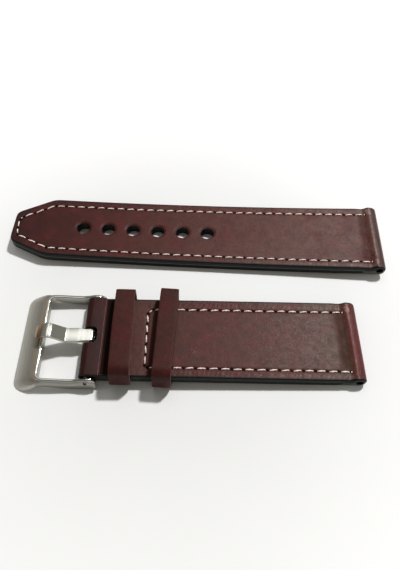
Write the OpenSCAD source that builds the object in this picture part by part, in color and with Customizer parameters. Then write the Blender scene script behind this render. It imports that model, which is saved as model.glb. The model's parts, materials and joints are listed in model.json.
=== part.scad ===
// Two-piece leather watch strap, sewn in two layers, with a pin buckle.
// Both halves lie side by side, grain side up, as they do before a watch is fitted.
// Lengths are millimetres and angles are degrees. +X runs towards the lug ends, +Y to the back, +Z up.
// Each half is drawn with its lug end at x = 0 and its other end at negative x, and is then laid down.

/* [Leather] */
// Width of both halves at the lugs
strap_w = 24; // [20:0.5:26]
// Thickness of the grain-side leather
top_t = 1.7; // [1.4:0.1:2.2]
// Thickness of the lining leather
lining_t = 1.5; // [1.3:0.1:2]
// Thickness of a skived end that is tucked between the layers
skive_t = 0.5; // [0.3:0.05:0.7]
// Radius of the tunnel for a lug spring bar
lug_bore_r = 1; // [0.8:0.05:1.2]
// Thickness of the leather that wraps a lug spring bar
lug_skin = 0.9; // [0.7:0.05:1.1]
// Distance from the lug end to where the lining starts
lining_start = 6.5; // [5.5:0.5:9]
// Depth of the valley pressed in beside the lug fold
valley_d = 0.2; // [0:0.05:0.4]
// Distance from the lug end to the bottom of that valley
valley_x = 4.1; // [3.9:0.1:5]

/* [Tail half] */
// Length of the tail half
tail_len = 115.5; // [108:0.5:130]
// Width of the tail half at the shoulders of its tip
shoulder_w = 22.2; // [18:0.2:24]
// Length of the tip beyond the shoulders
tip_len = 11.4; // [8:0.2:16]
// Width of the blunt end of the tip
tip_w = 12.2; // [8:0.2:16]
// Length on each side of the tip's four corners over which they are rounded
tip_round = 1.6; // [0.4:0.1:2]
// Radius of an adjustment hole
hole_r = 2; // [1.6:0.05:2.3]
// Spacing of the adjustment holes
hole_pitch = 7.85; // [6.5:0.05:8.5]
// Number of adjustment holes
hole_count = 6; // [4:1:6]
// Distance from the lug end to the nearest adjustment hole
first_hole_x = 54.6; // [50:0.2:58]

/* [Buckle half] */
// Length of the buckle half's leather, from the lug end to the outside of the buckle loop
buckle_half_len = 77; // [75:0.5:84]
// Distance from the outside of the buckle loop to the cut end of the grain-side leather
seam_x = 5.4; // [5.2:0.1:6]
// Height of the grain-side leather's cut end above the loop leather that dives under it
seam_step = 0.3; // [0.1:0.05:0.6]
// Thickness of the leather that wraps the buckle spring bar
loop_skin = 1.05; // [0.95:0.05:1.15]
// Width of the slot in the loop for the tongue
slot_w = 4.8; // [4.6:0.1:6]
// How far the slot runs past the bar axis on the strap's side
slot_reach = 2.3; // [2.1:0.05:2.6]
// Width of the skived loop end between the layers
tuck_w = 13.6; // [10:0.2:13.8]
// How far the skived loop end runs past the stitches that hold it
tuck_past = 0.8; // [0.75:0.05:2]

/* [Keepers] */
// Thickness of the keeper leather
keeper_t = 0.9; // [0.7:0.05:1.1]
// Height left above the strap for the tail
keeper_gap = 3.4; // [3.2:0.1:4.5]
// Outside radius of a keeper's corners
keeper_corner = 1.3; // [1.25:0.05:1.8]
// Width of the fixed keeper
fixed_keeper_w = 6; // [4.5:0.1:6.4]
// Distance from the outside of the buckle loop to the middle of the fixed keeper
fixed_keeper_back = 10.9; // [10.2:0.1:11.4]
// Gap between the strap's side and the fixed keeper
fixed_keeper_side = 0.05; // [0.03:0.01:0.2]
// Length of each keeper end that is trapped between the layers
keeper_tab = 3.6; // [2:0.1:4]
// Width of the free keeper
free_keeper_w = 5.4; // [4:0.1:6]
// Distance from the outside of the buckle loop to the middle of the free keeper
free_keeper_back = 22.6; // [22.2:0.2:57]
// Gap between the strap's side and the free keeper
free_keeper_side = 0.5; // [0.4:0.05:0.9]
// Gap between the strap's underside and the free keeper
free_keeper_under = 0.05; // [0.03:0.01:0.3]
// Slant of the free keeper across the strap, whose back end lies nearer the lug end
free_keeper_yaw = 3.1; // [0:0.1:3.5]

/* [Stitching] */
// Distance from the edge to a row of stitches
stitch_margin = 2.8; // [2.4:0.1:3.2]
// Spacing of the stitches
stitch_pitch = 3.2; // [2.6:0.1:4]
// Radius of the thread
thread_r = 0.36; // [0.28:0.02:0.4]
// Side of the squeezed thread inside a needle hole
thread_leg = 0.4; // [0.3:0.02:0.5]
// Half of the gap between one stitch and the next
stitch_end = 0.25; // [0.22:0.01:0.35]
// Clearance of the thread in its groove and needle holes
thread_clear = 0.04; // [0.02:0.01:0.08]
// How deep the stitches lie in the grain side
groove_d = 0.25; // [0.1:0.05:0.35]
// Distance from the lug end to the first stitch
stitch_start = 4.2; // [4:0.1:6]
// Distance from the outside of the buckle loop to the row of stitches across the buckle half
cross_back = 17.4; // [16.6:0.1:18]
// Cut corner where the rows on the buckle half meet
cross_corner = 1.4; // [0.8:0.1:2]

/* [Buckle] */
// Gap between the strap's side and a buckle arm
arm_gap = 0.4; // [0.3:0.05:0.8]
// Thickness of an arm at its top
arm_top_t = 1; // [0.8:0.05:1.3]
// Thickness of an arm at its foot
arm_foot_t = 1.5; // [1.4:0.05:2]
// How far the foot of the bar stands out past the feet of the arms
bar_flare = 0.7; // [0.2:0.1:1]
// Distance from the bar's outer edge over which its ends stay at full width
bar_full_x = 4.6; // [4:0.1:5]
// Distance from the hinge axis to the buckle's outer edge
bar_reach = 19.8; // [19:0.1:22]
// Width of the bar
bar_w = 7.3; // [6.4:0.1:7.6]
// Width of the flat underside of the bar's outer edge
bar_foot = 1.5; // [1:0.1:2]
// Height of the bar's outer edge
bar_edge = 0.4; // [0.3:0.05:0.8]
// Radius of the bar's crowned top
bar_crown_r = 10.8; // [9:0.2:16]
// Depth of the bar's outer edge below the hinge axis
bar_drop = 3.3; // [3.2:0.05:3.5]
// Depth of the arched underside below the hinge axis, beside the window
bar_arch = 1.65; // [1.4:0.05:2]
// Radius of the two outer corners of the bar in plan
bar_corner = 3.2; // [2:0.1:4]
// Height of the lip round the window above the hinge axis
lip_z = 0.8; // [0.6:0.05:0.9]
// Width of that lip
lip_w = 0.8; // [0.6:0.05:1]
// Radius of the window's two corners
window_corner = 1.6; // [0.8:0.1:2.4]
// Distance from the hinge axis to the low dip in an arm's top edge
dip_x = 3.6; // [3.2:0.1:5]
// Height of the dip above the hinge axis
dip_z = 0.2; // [0:0.05:0.4]
// Radius of an arm's round end
nose_r = 2; // [1.8:0.05:2]
// How far an arm's round end reaches past the hinge axis
nose_reach = 2.35; // [2.1:0.05:2.5]
// Height of an arm's round end above the hinge axis
nose_z = 0.9; // [0.85:0.05:1.1]
// Radius of the spring-bar holes in the arms
eye_bore_r = 0.5; // [0.49:0.01:0.55]

/* [Tongue] */
// Width of the tongue
tongue_w = 4.2; // [3.6:0.1:4.4]
// Thickness of the tongue
tongue_t = 0.85; // [0.7:0.05:0.9]
// Length of the level part of the tongue from the hinge axis
tongue_flat = 6.6; // [5.5:0.1:7]
// Distance from the hinge axis to where the rise ends
tongue_rise_x = 10.3; // [9.8:0.1:10.8]
// Height that the tongue rises
tongue_rise = 3; // [2.8:0.1:3.4]
// Length of the top of the bend
tongue_bend = 1.3; // [1.2:0.1:1.8]
// Length of the tip in plan, past the bend
tongue_tip = 3.3; // [2.6:0.1:3.6]
// Fall of the tip
tongue_fall = 1.6; // [1.4:0.1:2]
// Length on each side of a bend over which the tongue is rounded
tongue_round = 0.6; // [0.3:0.05:0.6]
// Turn at which the tongue rests, below level
tongue_lean = 2; // [0:0.1:3]

/* [Spring bar] */
// Outside radius of the spring bar's tube
tube_r = 0.85; // [0.8:0.01:0.9]
// Wall of the tube
tube_wall = 0.25; // [0.2:0.01:0.3]
// Length of the tube
tube_len = 20; // [18:0.1:20.2]
// Radius of a plunger's pin
pin_r = 0.45; // [0.42:0.01:0.46]
// Length of a pin inside the arm's hole
pin_reach = 1.1; // [0.9:0.05:1.2]
// Radius of a plunger's shoulder
shoulder_r = 0.78; // [0.7:0.01:0.8]
// Thickness of a plunger's shoulder
shoulder_t = 0.5; // [0.4:0.05:0.6]
// Gap between a plunger's shoulder and the arm
shoulder_gap = 0.3; // [0.2:0.05:0.4]
// Length of each plunger inside the tube
plunger_in = 2.6; // [2:0.1:3.5]
// Running clearance round the spring bar's pieces
run_clear = 0.05; // [0.03:0.01:0.08]
// Radius of the coil's wire
wire_r = 0.1; // [0.08:0.01:0.12]
// Turns of the coil
coil_turns = 18; // [10:1:22]

/* [Layout] */
// Distance between the centre lines of the two halves at their lug ends
halves_y = 35.65; // [32:0.05:50]
// How far the tail half's lug end lies past the other one
halves_x = 11.8; // [0:0.1:20]
// Turn of the tail half on the surface
tail_yaw = -1.9; // [-3:0.1:0]

/* [Hidden] */
$fn = 48;
// A small overshoot that keeps a cut from ending in the face that it cuts
cut = 0.1;
strap_t = top_t + lining_t;
lug_r = lug_bore_r + lug_skin;
loop_bore_r = tube_r + run_clear;
loop_r = loop_bore_r + loop_skin;
hinge_x = -(buckle_half_len - loop_r);
seam = -(buckle_half_len - seam_x);
fixed_keeper_x = buckle_half_len - fixed_keeper_back;
free_keeper_x = buckle_half_len - free_keeper_back;
cross_x = buckle_half_len - cross_back;
half_inside = strap_w / 2 + arm_gap;
half_foot = half_inside + arm_foot_t;
bar_half = half_foot + bar_flare;
window_x = bar_w - bar_reach;

// The buckle half lies on its lug fold and on the free keeper, which lifts it a little.
// The keeper's lowest corner is found first, then the tilt that brings it down to the surface.
keeper_flat = strap_w / 2 + free_keeper_side + keeper_t - keeper_corner;
contact_x = free_keeper_x - free_keeper_w / 2 * cos(free_keeper_yaw)
    - keeper_flat * sin(free_keeper_yaw) - lug_r;
contact_z = lug_r + free_keeper_under + keeper_t;
tilt = acos(lug_r / norm([contact_x, contact_z])) - atan2(contact_x, contact_z);

// The hinge axis of the buckle once the buckle half is laid down, seen from the lug end
hinge_at = [(hinge_x + lug_r) * cos(tilt) + (loop_r - lug_r) * sin(tilt) - lug_r, 0,
    (loop_r - lug_r) * cos(tilt) - (hinge_x + lug_r) * sin(tilt) + lug_r];
// The buckle hangs from that axis until its outer edge meets the surface
droop = asin(hinge_at.z / norm([bar_reach, bar_drop])) - atan2(bar_drop, bar_reach);

// Corners of the tail half seen from above, back edge first, and its outline with a rounded tip
tail_corners = [[0, strap_w / 2], [tip_len - tail_len, shoulder_w / 2], [-tail_len, tip_w / 2],
    [-tail_len, -tip_w / 2], [tip_len - tail_len, -shoulder_w / 2], [0, -strap_w / 2]];
tail_outline = rounded(tail_corners, tip_round, 5);

// The origin is the middle of the space that both halves cover, on the surface that they lie on
lean = -tail_yaw;
buckle_west = hinge_at.x - bar_reach * cos(droop) - halves_x;
turned_outline = [for (p = tail_outline)
    [p.x * cos(lean) + p.y * sin(lean), p.y * cos(lean) - p.x * sin(lean)]];
west = min(buckle_west, min([for (p = turned_outline) p.x]));
east = max([for (p = turned_outline) p.x]);
north = max([for (p = turned_outline) p.y]);
tail_at = [-(west + east) / 2, (bar_half + halves_y - north) / 2];
buckle_half_at = [tail_at.x - halves_x, tail_at.y - halves_y];

function unit(v) = v / norm(v);
function left_of(v) = [-v.y, v.x];
function reversed(list) = [for (i = [len(list) - 1:-1:0]) list[i]];

// The point that lies d inside the corner b of an outline
function corner_inset(a, b, c, d) =
    let (u = unit(b - a), w = unit(c - b), n = left_of(u), m = left_of(w))
    b + (n + m) * d / (1 + n * m);
// The point at distance x from the lug end on the line that lies d inside the edge a to b
function row_start(a, b, d, x) =
    let (u = unit(b - a), p = a + left_of(u) * d) p + u * ((-x - p.x) / u.x);

// Rows of stitches: the tail's follows its corners, the other half's turns across the strap
tail_row = let (o = tail_corners, d = stitch_margin) [
    row_start(o[0], o[1], d, stitch_start),
    for (i = [1:4]) corner_inset(o[i - 1], o[i], o[i + 1], d),
    row_start(o[5], o[4], -d, stitch_start)];
side_row = strap_w / 2 - stitch_margin;
buckle_half_row = [[-stitch_start, side_row], [cross_corner - cross_x, side_row],
    [-cross_x, side_row - cross_corner], [-cross_x, cross_corner - side_row],
    [cross_corner - cross_x, -side_row], [-stitch_start, -side_row]];
top_thread_z = strap_t - groove_d + thread_r;
lining_thread_z = thread_r + thread_clear;
slot_half = stitch_end + thread_leg + thread_clear;
tuck_end = tuck_past - cross_x;

// A smooth S from a towards b in n steps, without b
function ease(a, b, n) =
    [for (i = [0:n - 1]) a + [(b.x - a.x) * i / n, (b.y - a.y) * (1 - cos(180 * i / n)) / 2]];
// A path whose corners are rounded over a length d on each side, in n steps
function rounded(path, d, n) = [path[0],
    for (i = [1:len(path) - 2])
        let (b = path[i], p = b + unit(path[i - 1] - b) * d, q = b + unit(path[i + 1] - b) * d)
        for (s = [0:1 / n:1]) p * (1 - s) * (1 - s) + b * 2 * s * (1 - s) + q * s * s,
    path[len(path) - 1]];
// The line that lies d to the left of a path
function beside(path, d) = [for (i = [0:len(path) - 1])
    path[i] + left_of(unit(path[min(i + 1, len(path) - 1)] - path[max(i - 1, 0)])) * d];

// Lays the tail half down, turned a little on the surface
module lay_tail() {
    translate([tail_at.x, tail_at.y, 0]) rotate([0, 0, tail_yaw]) children();
}

// Lays the buckle half down on its lug fold and its free keeper
module lay_buckle_half() {
    translate([buckle_half_at.x - lug_r, buckle_half_at.y, lug_r]) rotate([0, tilt, 0])
        translate([lug_r, 0, -lug_r]) children();
}

// Puts a piece that is drawn round the buckle's hinge axis where that axis lies, turned down
module at_hinge(turn) {
    translate([buckle_half_at.x + hinge_at.x, buckle_half_at.y, hinge_at.z])
        rotate([0, -turn, 0]) children();
}

// Extrudes a side view, drawn as [x, z], across the strap
module across(w) {
    rotate([90, 0, 0]) linear_extrude(w, center = true) children();
}

// A round bar across the strap
module rod(r, w, sides = 48) {
    rotate([90, 0, 0]) cylinder(r = r, h = w, center = true, $fn = sides);
}

// Turns children to lie along one straight run of a row
module along(a, b) {
    translate([a.x, a.y, 0]) rotate([0, 0, atan2(b.y - a.y, b.x - a.x)]) children();
}

// Grooves and needle holes of a whole row, as solids to cut away
module row_cuts(row) {
    groove_w = 2 * (thread_r + thread_clear);
    leg_w = thread_leg + 2 * thread_clear;
    for (i = [0:len(row) - 2]) {
        run = norm(row[i + 1] - row[i]);
        n = max(1, round(run / stitch_pitch));
        along(row[i], row[i + 1]) {
            translate([0, -groove_w / 2, strap_t - groove_d]) cube([run, groove_w, lug_r]);
            translate([0, -groove_w / 2, -cut]) cube([run, groove_w, groove_w + cut]);
            for (k = [0:n]) translate([k * run / n - slot_half, -leg_w / 2, -cut])
                cube([2 * slot_half, leg_w, strap_t + 2 * cut]);
        }
    }
}

// One stitch: a bar on the surface, and two legs that reach by depth into the needle holes
module stitch(run, depth) {
    rotate([0, 90, 0]) cylinder(r = thread_r, h = run, $fn = 24);
    for (x = [0, run - thread_leg])
        translate([x, -thread_leg / 2, min(0, depth)]) cube([thread_leg, thread_leg, abs(depth)]);
}

// All the stitches of a row on one side of the strap, whose legs meet the other side's thread
module stitches(row, z) {
    for (i = [0:len(row) - 2]) {
        run = norm(row[i + 1] - row[i]);
        n = max(1, round(run / stitch_pitch));
        along(row[i], row[i + 1]) for (k = [0:n - 1])
            translate([k * run / n + stitch_end, 0, z])
                stitch(run / n - 2 * stitch_end, lining_t - z);
    }
}

// Grain-side leather of one length, as wide as w, which wraps the tunnel for the lug bar
module top_sheet(length, w) {
    difference() {
        union() {
            across(w) polygon([[-length, lining_t], [-length, strap_t], [-lining_start, strap_t],
                [-valley_x, strap_t - valley_d], [-lug_r - lug_skin / 2, strap_t],
                [-lug_r, 2 * lug_r], [-lug_r, 0], [-lining_start, 0], [-lining_start, lining_t]]);
            translate([-lug_r, 0, lug_r]) rod(lug_r, w);
        }
        translate([-lug_r, 0, lug_r]) rod(lug_bore_r, w + 2 * cut);
    }
}

module adjustment_holes() {
    for (i = [0:hole_count - 1]) translate([-first_hole_x - i * hole_pitch, 0, -cut])
        cylinder(r = hole_r, h = strap_t + 2 * cut);
}

module tail_top_leather() {
    color("#4a2424") lay_tail() difference() {
        intersection() {
            translate([0, 0, -cut]) linear_extrude(2 * lug_r + 2 * cut) polygon(tail_outline);
            top_sheet(tail_len, strap_w + 2 * cut);
        }
        adjustment_holes();
        row_cuts(tail_row);
    }
}

module tail_lining() {
    color("#2b1d1a") lay_tail() difference() {
        intersection() {
            linear_extrude(lining_t) polygon(tail_outline);
            translate([-tail_len - cut, -strap_w, -cut])
                cube([tail_len + cut - lining_start, 2 * strap_w, lining_t + 2 * cut]);
        }
        adjustment_holes();
        row_cuts(tail_row);
    }
}

module tail_top_thread() {
    color("#dcc9c2") lay_tail() stitches(tail_row, top_thread_z);
}

module tail_lining_thread() {
    color("#dcc9c2") lay_tail() stitches(tail_row, lining_thread_z);
}

// The skived end of the loop, grown by a clearance where its pocket is cut
module tuck(grow) {
    translate([seam - cut, -tuck_w / 2 - grow, lining_t - cut])
        cube([tuck_end + grow + cut - seam, tuck_w + 2 * grow, skive_t + cut + grow]);
}

// The fixed keeper's two skived ends, grown by a clearance where their pockets are cut
module keeper_tabs(grow) {
    for (side = [0, 1]) mirror([0, side, 0])
        translate([-fixed_keeper_x - fixed_keeper_w / 2 - grow,
            strap_w / 2 - keeper_tab - grow, lining_t])
            cube([fixed_keeper_w + 2 * grow, keeper_tab + fixed_keeper_side + keeper_t / 2,
                skive_t + grow]);
}

module buckle_half_top_leather() {
    color("#4d2626") lay_buckle_half() difference() {
        top_sheet(-seam, strap_w);
        tuck(thread_clear);
        keeper_tabs(thread_clear);
        row_cuts(buckle_half_row);
    }
}

// The lining and the loop that it makes round the buckle's spring bar
module lining_sheet() {
    difference() {
        union() {
            translate([hinge_x, 0, loop_r]) rod(loop_r, strap_w);
            across(strap_w) polygon([[hinge_x, 0], [-lining_start, 0], [-lining_start, lining_t],
                [seam, lining_t], [seam, strap_t - seam_step],
                [hinge_x + loop_r / 2, 2 * loop_r - skive_t / 2], [hinge_x, 2 * loop_r]]);
        }
        translate([hinge_x, 0, loop_r]) rod(loop_bore_r, strap_w + 2 * cut);
    }
}

module buckle_half_lining() {
    color("#3a2020") lay_buckle_half() difference() {
        union() {
            lining_sheet();
            tuck(0);
        }
        translate([hinge_x - loop_r - cut, -slot_w / 2, -cut])
            cube([loop_r + cut + slot_reach, slot_w, 2 * loop_r + 2 * cut]);
        row_cuts(buckle_half_row);
    }
}

module buckle_half_top_thread() {
    color("#dcc9c2") lay_buckle_half() stitches(buckle_half_row, top_thread_z);
}

module buckle_half_lining_thread() {
    color("#dcc9c2") lay_buckle_half() stitches(buckle_half_row, lining_thread_z);
}

// A rectangle with round corners, as wide as twice half, between two heights
module round_box(half, low, high, r) {
    translate([r - half, low]) square([2 * (half - r), high - low]);
    translate([-half, low + r]) square([2 * half, high - low - 2 * r]);
    for (x = [r - half, half - r], z = [low + r, high - r]) translate([x, z]) circle(r = r);
}

// A band of keeper leather round the strap, with its gap at the sides and under the strap
module keeper_band(width, side, under) {
    inside = strap_w / 2 + side;
    roof = strap_t + keeper_gap;
    rotate([90, 0, 90]) linear_extrude(width, center = true) difference() {
        round_box(inside + keeper_t, -under - keeper_t, roof + keeper_t, keeper_corner);
        round_box(inside, -under, roof, keeper_corner - keeper_t);
    }
}

module fixed_keeper() {
    inside = strap_w / 2 + fixed_keeper_side;
    color("#4a2424") lay_buckle_half() {
        difference() {
            translate([-fixed_keeper_x, 0, 0])
                keeper_band(fixed_keeper_w, fixed_keeper_side, -lining_t);
            translate([-fixed_keeper_x - fixed_keeper_w, -inside, -cut])
                cube([2 * fixed_keeper_w, 2 * inside, lining_t + skive_t + cut]);
        }
        keeper_tabs(0);
    }
}

module free_keeper() {
    color("#4a2424") lay_buckle_half() translate([-free_keeper_x, 0, 0])
        rotate([0, 0, -free_keeper_yaw])
            keeper_band(free_keeper_w, free_keeper_side, free_keeper_under);
}

// The bar: a flat lip beside the window, a crowned top and an arched underside
module buckle_bar() {
    low = [-bar_reach, bar_edge - bar_drop];
    high = [window_x - lip_w, lip_z];
    half = norm(high - low) / 2;
    crown = (low + high) / 2 - left_of(unit(high - low)) * sqrt(bar_crown_r ^ 2 - half ^ 2);
    intersection() {
        translate([crown.x, 0, crown.y]) rod(bar_crown_r, 2 * bar_half, 180);
        across(2 * bar_half) polygon(concat(
            [[-bar_reach, -bar_drop], [-bar_reach, lip_z], [window_x, lip_z]],
            ease([window_x, -bar_arch], [bar_foot - bar_reach, -bar_drop], 6),
            [[bar_foot - bar_reach, -bar_drop]]));
    }
}

// Both arms as one slab: level with the lip at the bar, with a low dip before the round end
module buckle_arms() {
    nose = [nose_reach - nose_r, nose_z - nose_r];
    bottom = nose.y - nose_r;
    across(2 * half_foot) polygon(concat([[window_x - lip_w, -bar_arch], [window_x - lip_w, lip_z]],
        ease([window_x, lip_z], [-dip_x, dip_z], 8), ease([-dip_x, dip_z], [nose.x, nose_z], 6),
        [[nose.x, nose_z], [nose.x, bottom]],
        ease([-dip_x, bottom], [window_x, -bar_arch], 8)));
    translate([nose.x, 0, nose.y]) rod(nose_r, 2 * half_foot);
}

// The outline of the buckle from above: round outer corners, and ends that draw in to the arms
module buckle_outline() {
    corner = [bar_corner - bar_reach, bar_half - bar_corner];
    full = bar_full_x - bar_reach;
    translate([0, 0, -bar_drop]) {
        linear_extrude(2 * bar_drop) polygon([[-bar_reach, -corner.y], [corner.x, -bar_half],
            [full, -bar_half], [window_x, -half_foot], [nose_reach, -half_foot],
            [nose_reach, half_foot], [window_x, half_foot], [full, bar_half], [corner.x, bar_half],
            [-bar_reach, corner.y]]);
        for (y = [-corner.y, corner.y]) translate([corner.x, y, 0])
            cylinder(r = bar_corner, h = 2 * bar_drop);
    }
}

// The window between the arms, which is open towards the strap
module buckle_window() {
    length = nose_reach + cut - window_x;
    for (side = [-1, 1])
        translate([window_x + window_corner, side * (half_inside - window_corner), -2 * bar_drop])
            cylinder(r = window_corner, h = 4 * bar_drop);
    translate([window_x + window_corner, -half_inside, -2 * bar_drop])
        cube([length - window_corner, 2 * half_inside, 4 * bar_drop]);
    translate([window_x, window_corner - half_inside, -2 * bar_drop])
        cube([length, 2 * (half_inside - window_corner), 4 * bar_drop]);
}

// View along the strap: the outer sides of the arms and of the bar's ends lean in towards the top
module buckle_draft() {
    top = half_inside + arm_top_t;
    top_z = max(lip_z, nose_z) + cut;
    polygon([[-top, top_z], [top, top_z], [bar_half, 2 * bar_edge - bar_drop],
        [bar_half, -bar_drop - cut], [-bar_half, -bar_drop - cut],
        [-bar_half, 2 * bar_edge - bar_drop]]);
}

module buckle_frame() {
    color("#b9b9b2") at_hinge(droop) difference() {
        intersection() {
            buckle_outline();
            union() {
                buckle_bar();
                buckle_arms();
            }
            rotate([90, 0, 90]) linear_extrude(3 * bar_reach, center = true) buckle_draft();
        }
        buckle_window();
        rod(eye_bore_r, 2 * bar_half + 2 * cut);
    }
}

// The tongue's middle line, seen from the side: level, a rise, a bend and a falling tip
function tongue_path() =
    let (level = loop_bore_r + tongue_t / 2, top = level + tongue_rise,
        bend_x = tongue_rise_x + tongue_bend)
    rounded([[0, level], [-tongue_flat, level], [-tongue_rise_x, top], [-bend_x, top],
        [-bend_x - tongue_tip, top - tongue_fall]], tongue_round, 5);

module buckle_tongue() {
    path = tongue_path();
    color("#c9c9c4") at_hinge(tongue_lean) difference() {
        union() {
            rod(loop_bore_r + tongue_t, tongue_w);
            across(tongue_w)
                polygon(concat(beside(path, tongue_t / 2), reversed(beside(path, -tongue_t / 2))));
        }
        rod(loop_bore_r, tongue_w + 2 * cut);
    }
}

module spring_bar_tube() {
    color("#a8a8a4") at_hinge(0) difference() {
        rod(tube_r, tube_len);
        rod(tube_r - tube_wall, tube_len + 2 * cut);
    }
}

// One plunger, drawn along +Z from the middle of the bar: shank, shoulder and pin
module plunger() {
    shank = tube_len / 2 - plunger_in;
    shoulder = half_inside - shoulder_gap - shoulder_t;
    translate([0, 0, shank])
        cylinder(r = tube_r - tube_wall - run_clear, h = shoulder + shoulder_t / 2 - shank);
    translate([0, 0, shoulder]) cylinder(r = shoulder_r, h = shoulder_t);
    translate([0, 0, shoulder + shoulder_t / 2])
        cylinder(r = pin_r, h = half_inside + pin_reach - shoulder - shoulder_t / 2);
}

module spring_bar_plunger_front() {
    color("#a8a8a4") at_hinge(0) rotate([90, 0, 0]) plunger();
}

module spring_bar_plunger_back() {
    color("#a8a8a4") at_hinge(0) rotate([-90, 0, 0]) plunger();
}

// The coil that pushes the plungers apart: one wire wound along the inside of the tube
coil_r = tube_r - tube_wall - wire_r - run_clear;
coil_half = tube_len / 2 - plunger_in - wire_r - run_clear;
coil_rings = 8;
coil_sides = 6;
coil_steps = coil_rings * coil_turns;
function coil_point(i, j) =
    let (a = 360 * i / coil_rings, b = 360 * j / coil_sides, r = coil_r + wire_r * cos(b))
    [r * cos(a), r * sin(a), (2 * i / coil_steps - 1) * coil_half + wire_r * sin(b)];

module spring_bar_coil() {
    points = [for (i = [0:coil_steps], j = [0:coil_sides - 1]) coil_point(i, j)];
    last = coil_steps * coil_sides;
    sides = [for (i = [0:coil_steps - 1], j = [0:coil_sides - 1])
        let (a = i * coil_sides + j, b = i * coil_sides + (j + 1) % coil_sides)
        each [[a, a + coil_sides, b], [b, a + coil_sides, b + coil_sides]]];
    caps = [for (j = [1:coil_sides - 2]) each [[0, j, j + 1], [last, last + j + 1, last + j]]];
    color("#8f8f8c") at_hinge(0) rotate([90, 0, 0]) polyhedron(points, concat(sides, caps));
}

tail_top_leather();
tail_lining();
tail_top_thread();
tail_lining_thread();
buckle_half_top_leather();
buckle_half_lining();
buckle_half_top_thread();
buckle_half_lining_thread();
fixed_keeper();
free_keeper();
buckle_frame();
buckle_tongue();
spring_bar_tube();
spring_bar_plunger_front();
spring_bar_plunger_back();
spring_bar_coil();
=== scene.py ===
"""A two-piece leather watch strap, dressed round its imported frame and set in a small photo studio.

Sizes are millimetres and degrees in each class, and the finished meshes are metres in the row
frame. Each strap half is drawn with its lug end at u = 0 and its other end at negative u, v runs
to the back edge and w up, and the buckle is drawn round its hinge axis.
"""

import json
import logging
import math
import random
from dataclasses import dataclass, field
from enum import Enum
from typing import Callable, Optional, Sequence, Union

import bpy
import numpy as np
from mathutils import Matrix, Vector


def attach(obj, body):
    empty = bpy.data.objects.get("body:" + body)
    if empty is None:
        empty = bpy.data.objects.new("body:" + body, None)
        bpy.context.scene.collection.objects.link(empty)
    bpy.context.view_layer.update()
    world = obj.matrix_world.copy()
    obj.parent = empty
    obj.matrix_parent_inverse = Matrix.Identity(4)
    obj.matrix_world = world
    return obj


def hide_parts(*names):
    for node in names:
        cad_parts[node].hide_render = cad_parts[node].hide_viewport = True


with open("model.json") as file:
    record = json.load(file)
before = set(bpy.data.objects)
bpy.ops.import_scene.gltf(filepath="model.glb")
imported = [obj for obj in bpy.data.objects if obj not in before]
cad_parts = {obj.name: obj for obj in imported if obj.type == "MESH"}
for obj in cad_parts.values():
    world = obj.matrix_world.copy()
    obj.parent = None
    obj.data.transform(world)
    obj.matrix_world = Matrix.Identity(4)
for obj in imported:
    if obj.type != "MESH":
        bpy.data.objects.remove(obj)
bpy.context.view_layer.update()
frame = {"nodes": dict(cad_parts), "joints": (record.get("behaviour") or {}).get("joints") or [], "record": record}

log = logging.getLogger("strap")
MM = 0.001
# The leather colours along X, dye with painted sheen, are given this far to each side of the middle of the table
HALF_SPAN = 60.0
NOWHERE = 1e9

Socket = bpy.types.NodeSocket
Masks = Optional[dict[str, np.ndarray]]


class Body(Enum):
    """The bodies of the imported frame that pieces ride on."""

    BUCKLE_HALF = "buckle_half"
    TAIL_HALF = "tail_half"
    FREE_KEEPER = "free_keeper"
    FRAME = "buckle_frame"
    TONGUE = "buckle_tongue"


class Slot(Enum):
    """The record's material slots."""

    GRAIN = "grain_leather"
    LINING = "lining_leather"
    KEEPER = "keeper_leather"
    THREAD = "thread"
    BUCKLE = "buckle_steel"
    TONGUE = "tongue_steel"
    SPRING_BAR = "spring_bar_steel"


# ---- Places ----------------------------------------------------------------------------------


def mount(name: str) -> dict:
    """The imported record's mount of that name."""
    return next(m for m in frame["record"]["mounts"] if m["name"] == name)


def joint(name: str) -> dict:
    """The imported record's joint of that name."""
    return next(j for j in frame["joints"] if j["name"] == name)


def half_place(tunnel: str, lug_radius: float, along: Optional[Vector]) -> Matrix:
    """Where a strap half lies, from its lug tunnel.

    Args:
        tunnel: the name of the tunnel's mount.
        lug_radius: outside radius of the lug fold.
        along: unit direction towards the lug end, or None for a half that lies level.

    Returns:
        The matrix from local millimetres to the row frame.
    """
    v = Vector(mount(tunnel)["axis"])
    v = -v if v.y < 0 else v
    u = along if along else v.cross(Vector((0, 0, 1)))
    w = u.cross(v)
    place = Matrix((u, v, w)).transposed().to_4x4()
    place.translation = Vector(mount(tunnel)["pos_m"]) + (u - w) * lug_radius * MM
    return place @ Matrix.Scale(MM, 4)


def hinge_place(lean: float) -> Matrix:
    """The matrix from local millimetres to the hinge axis, turned down by lean degrees."""
    origin = Vector(joint("buckle_swing")["pos_m"])
    turn = Matrix.Rotation(-math.radians(lean), 4, "Y")
    return Matrix.Translation(origin) @ turn @ Matrix.Scale(MM, 4)


# ---- Colours and shader nodes ----------------------------------------------------------------


def linear(hex_colour: str) -> tuple[float, float, float, float]:
    """An sRGB hex colour as linear red, green, blue and alpha.

    Args:
        hex_colour: such as "#5a2c2c".

    Returns:
        The colour for a shader socket.
    """
    values = [int(hex_colour[i:i + 2], 16) / 255 for i in (1, 3, 5)]
    r, g, b = [c / 12.92 if c <= 0.04045 else ((c + 0.055) / 1.055) ** 2.4 for c in values]
    return r, g, b, 1.0


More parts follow.
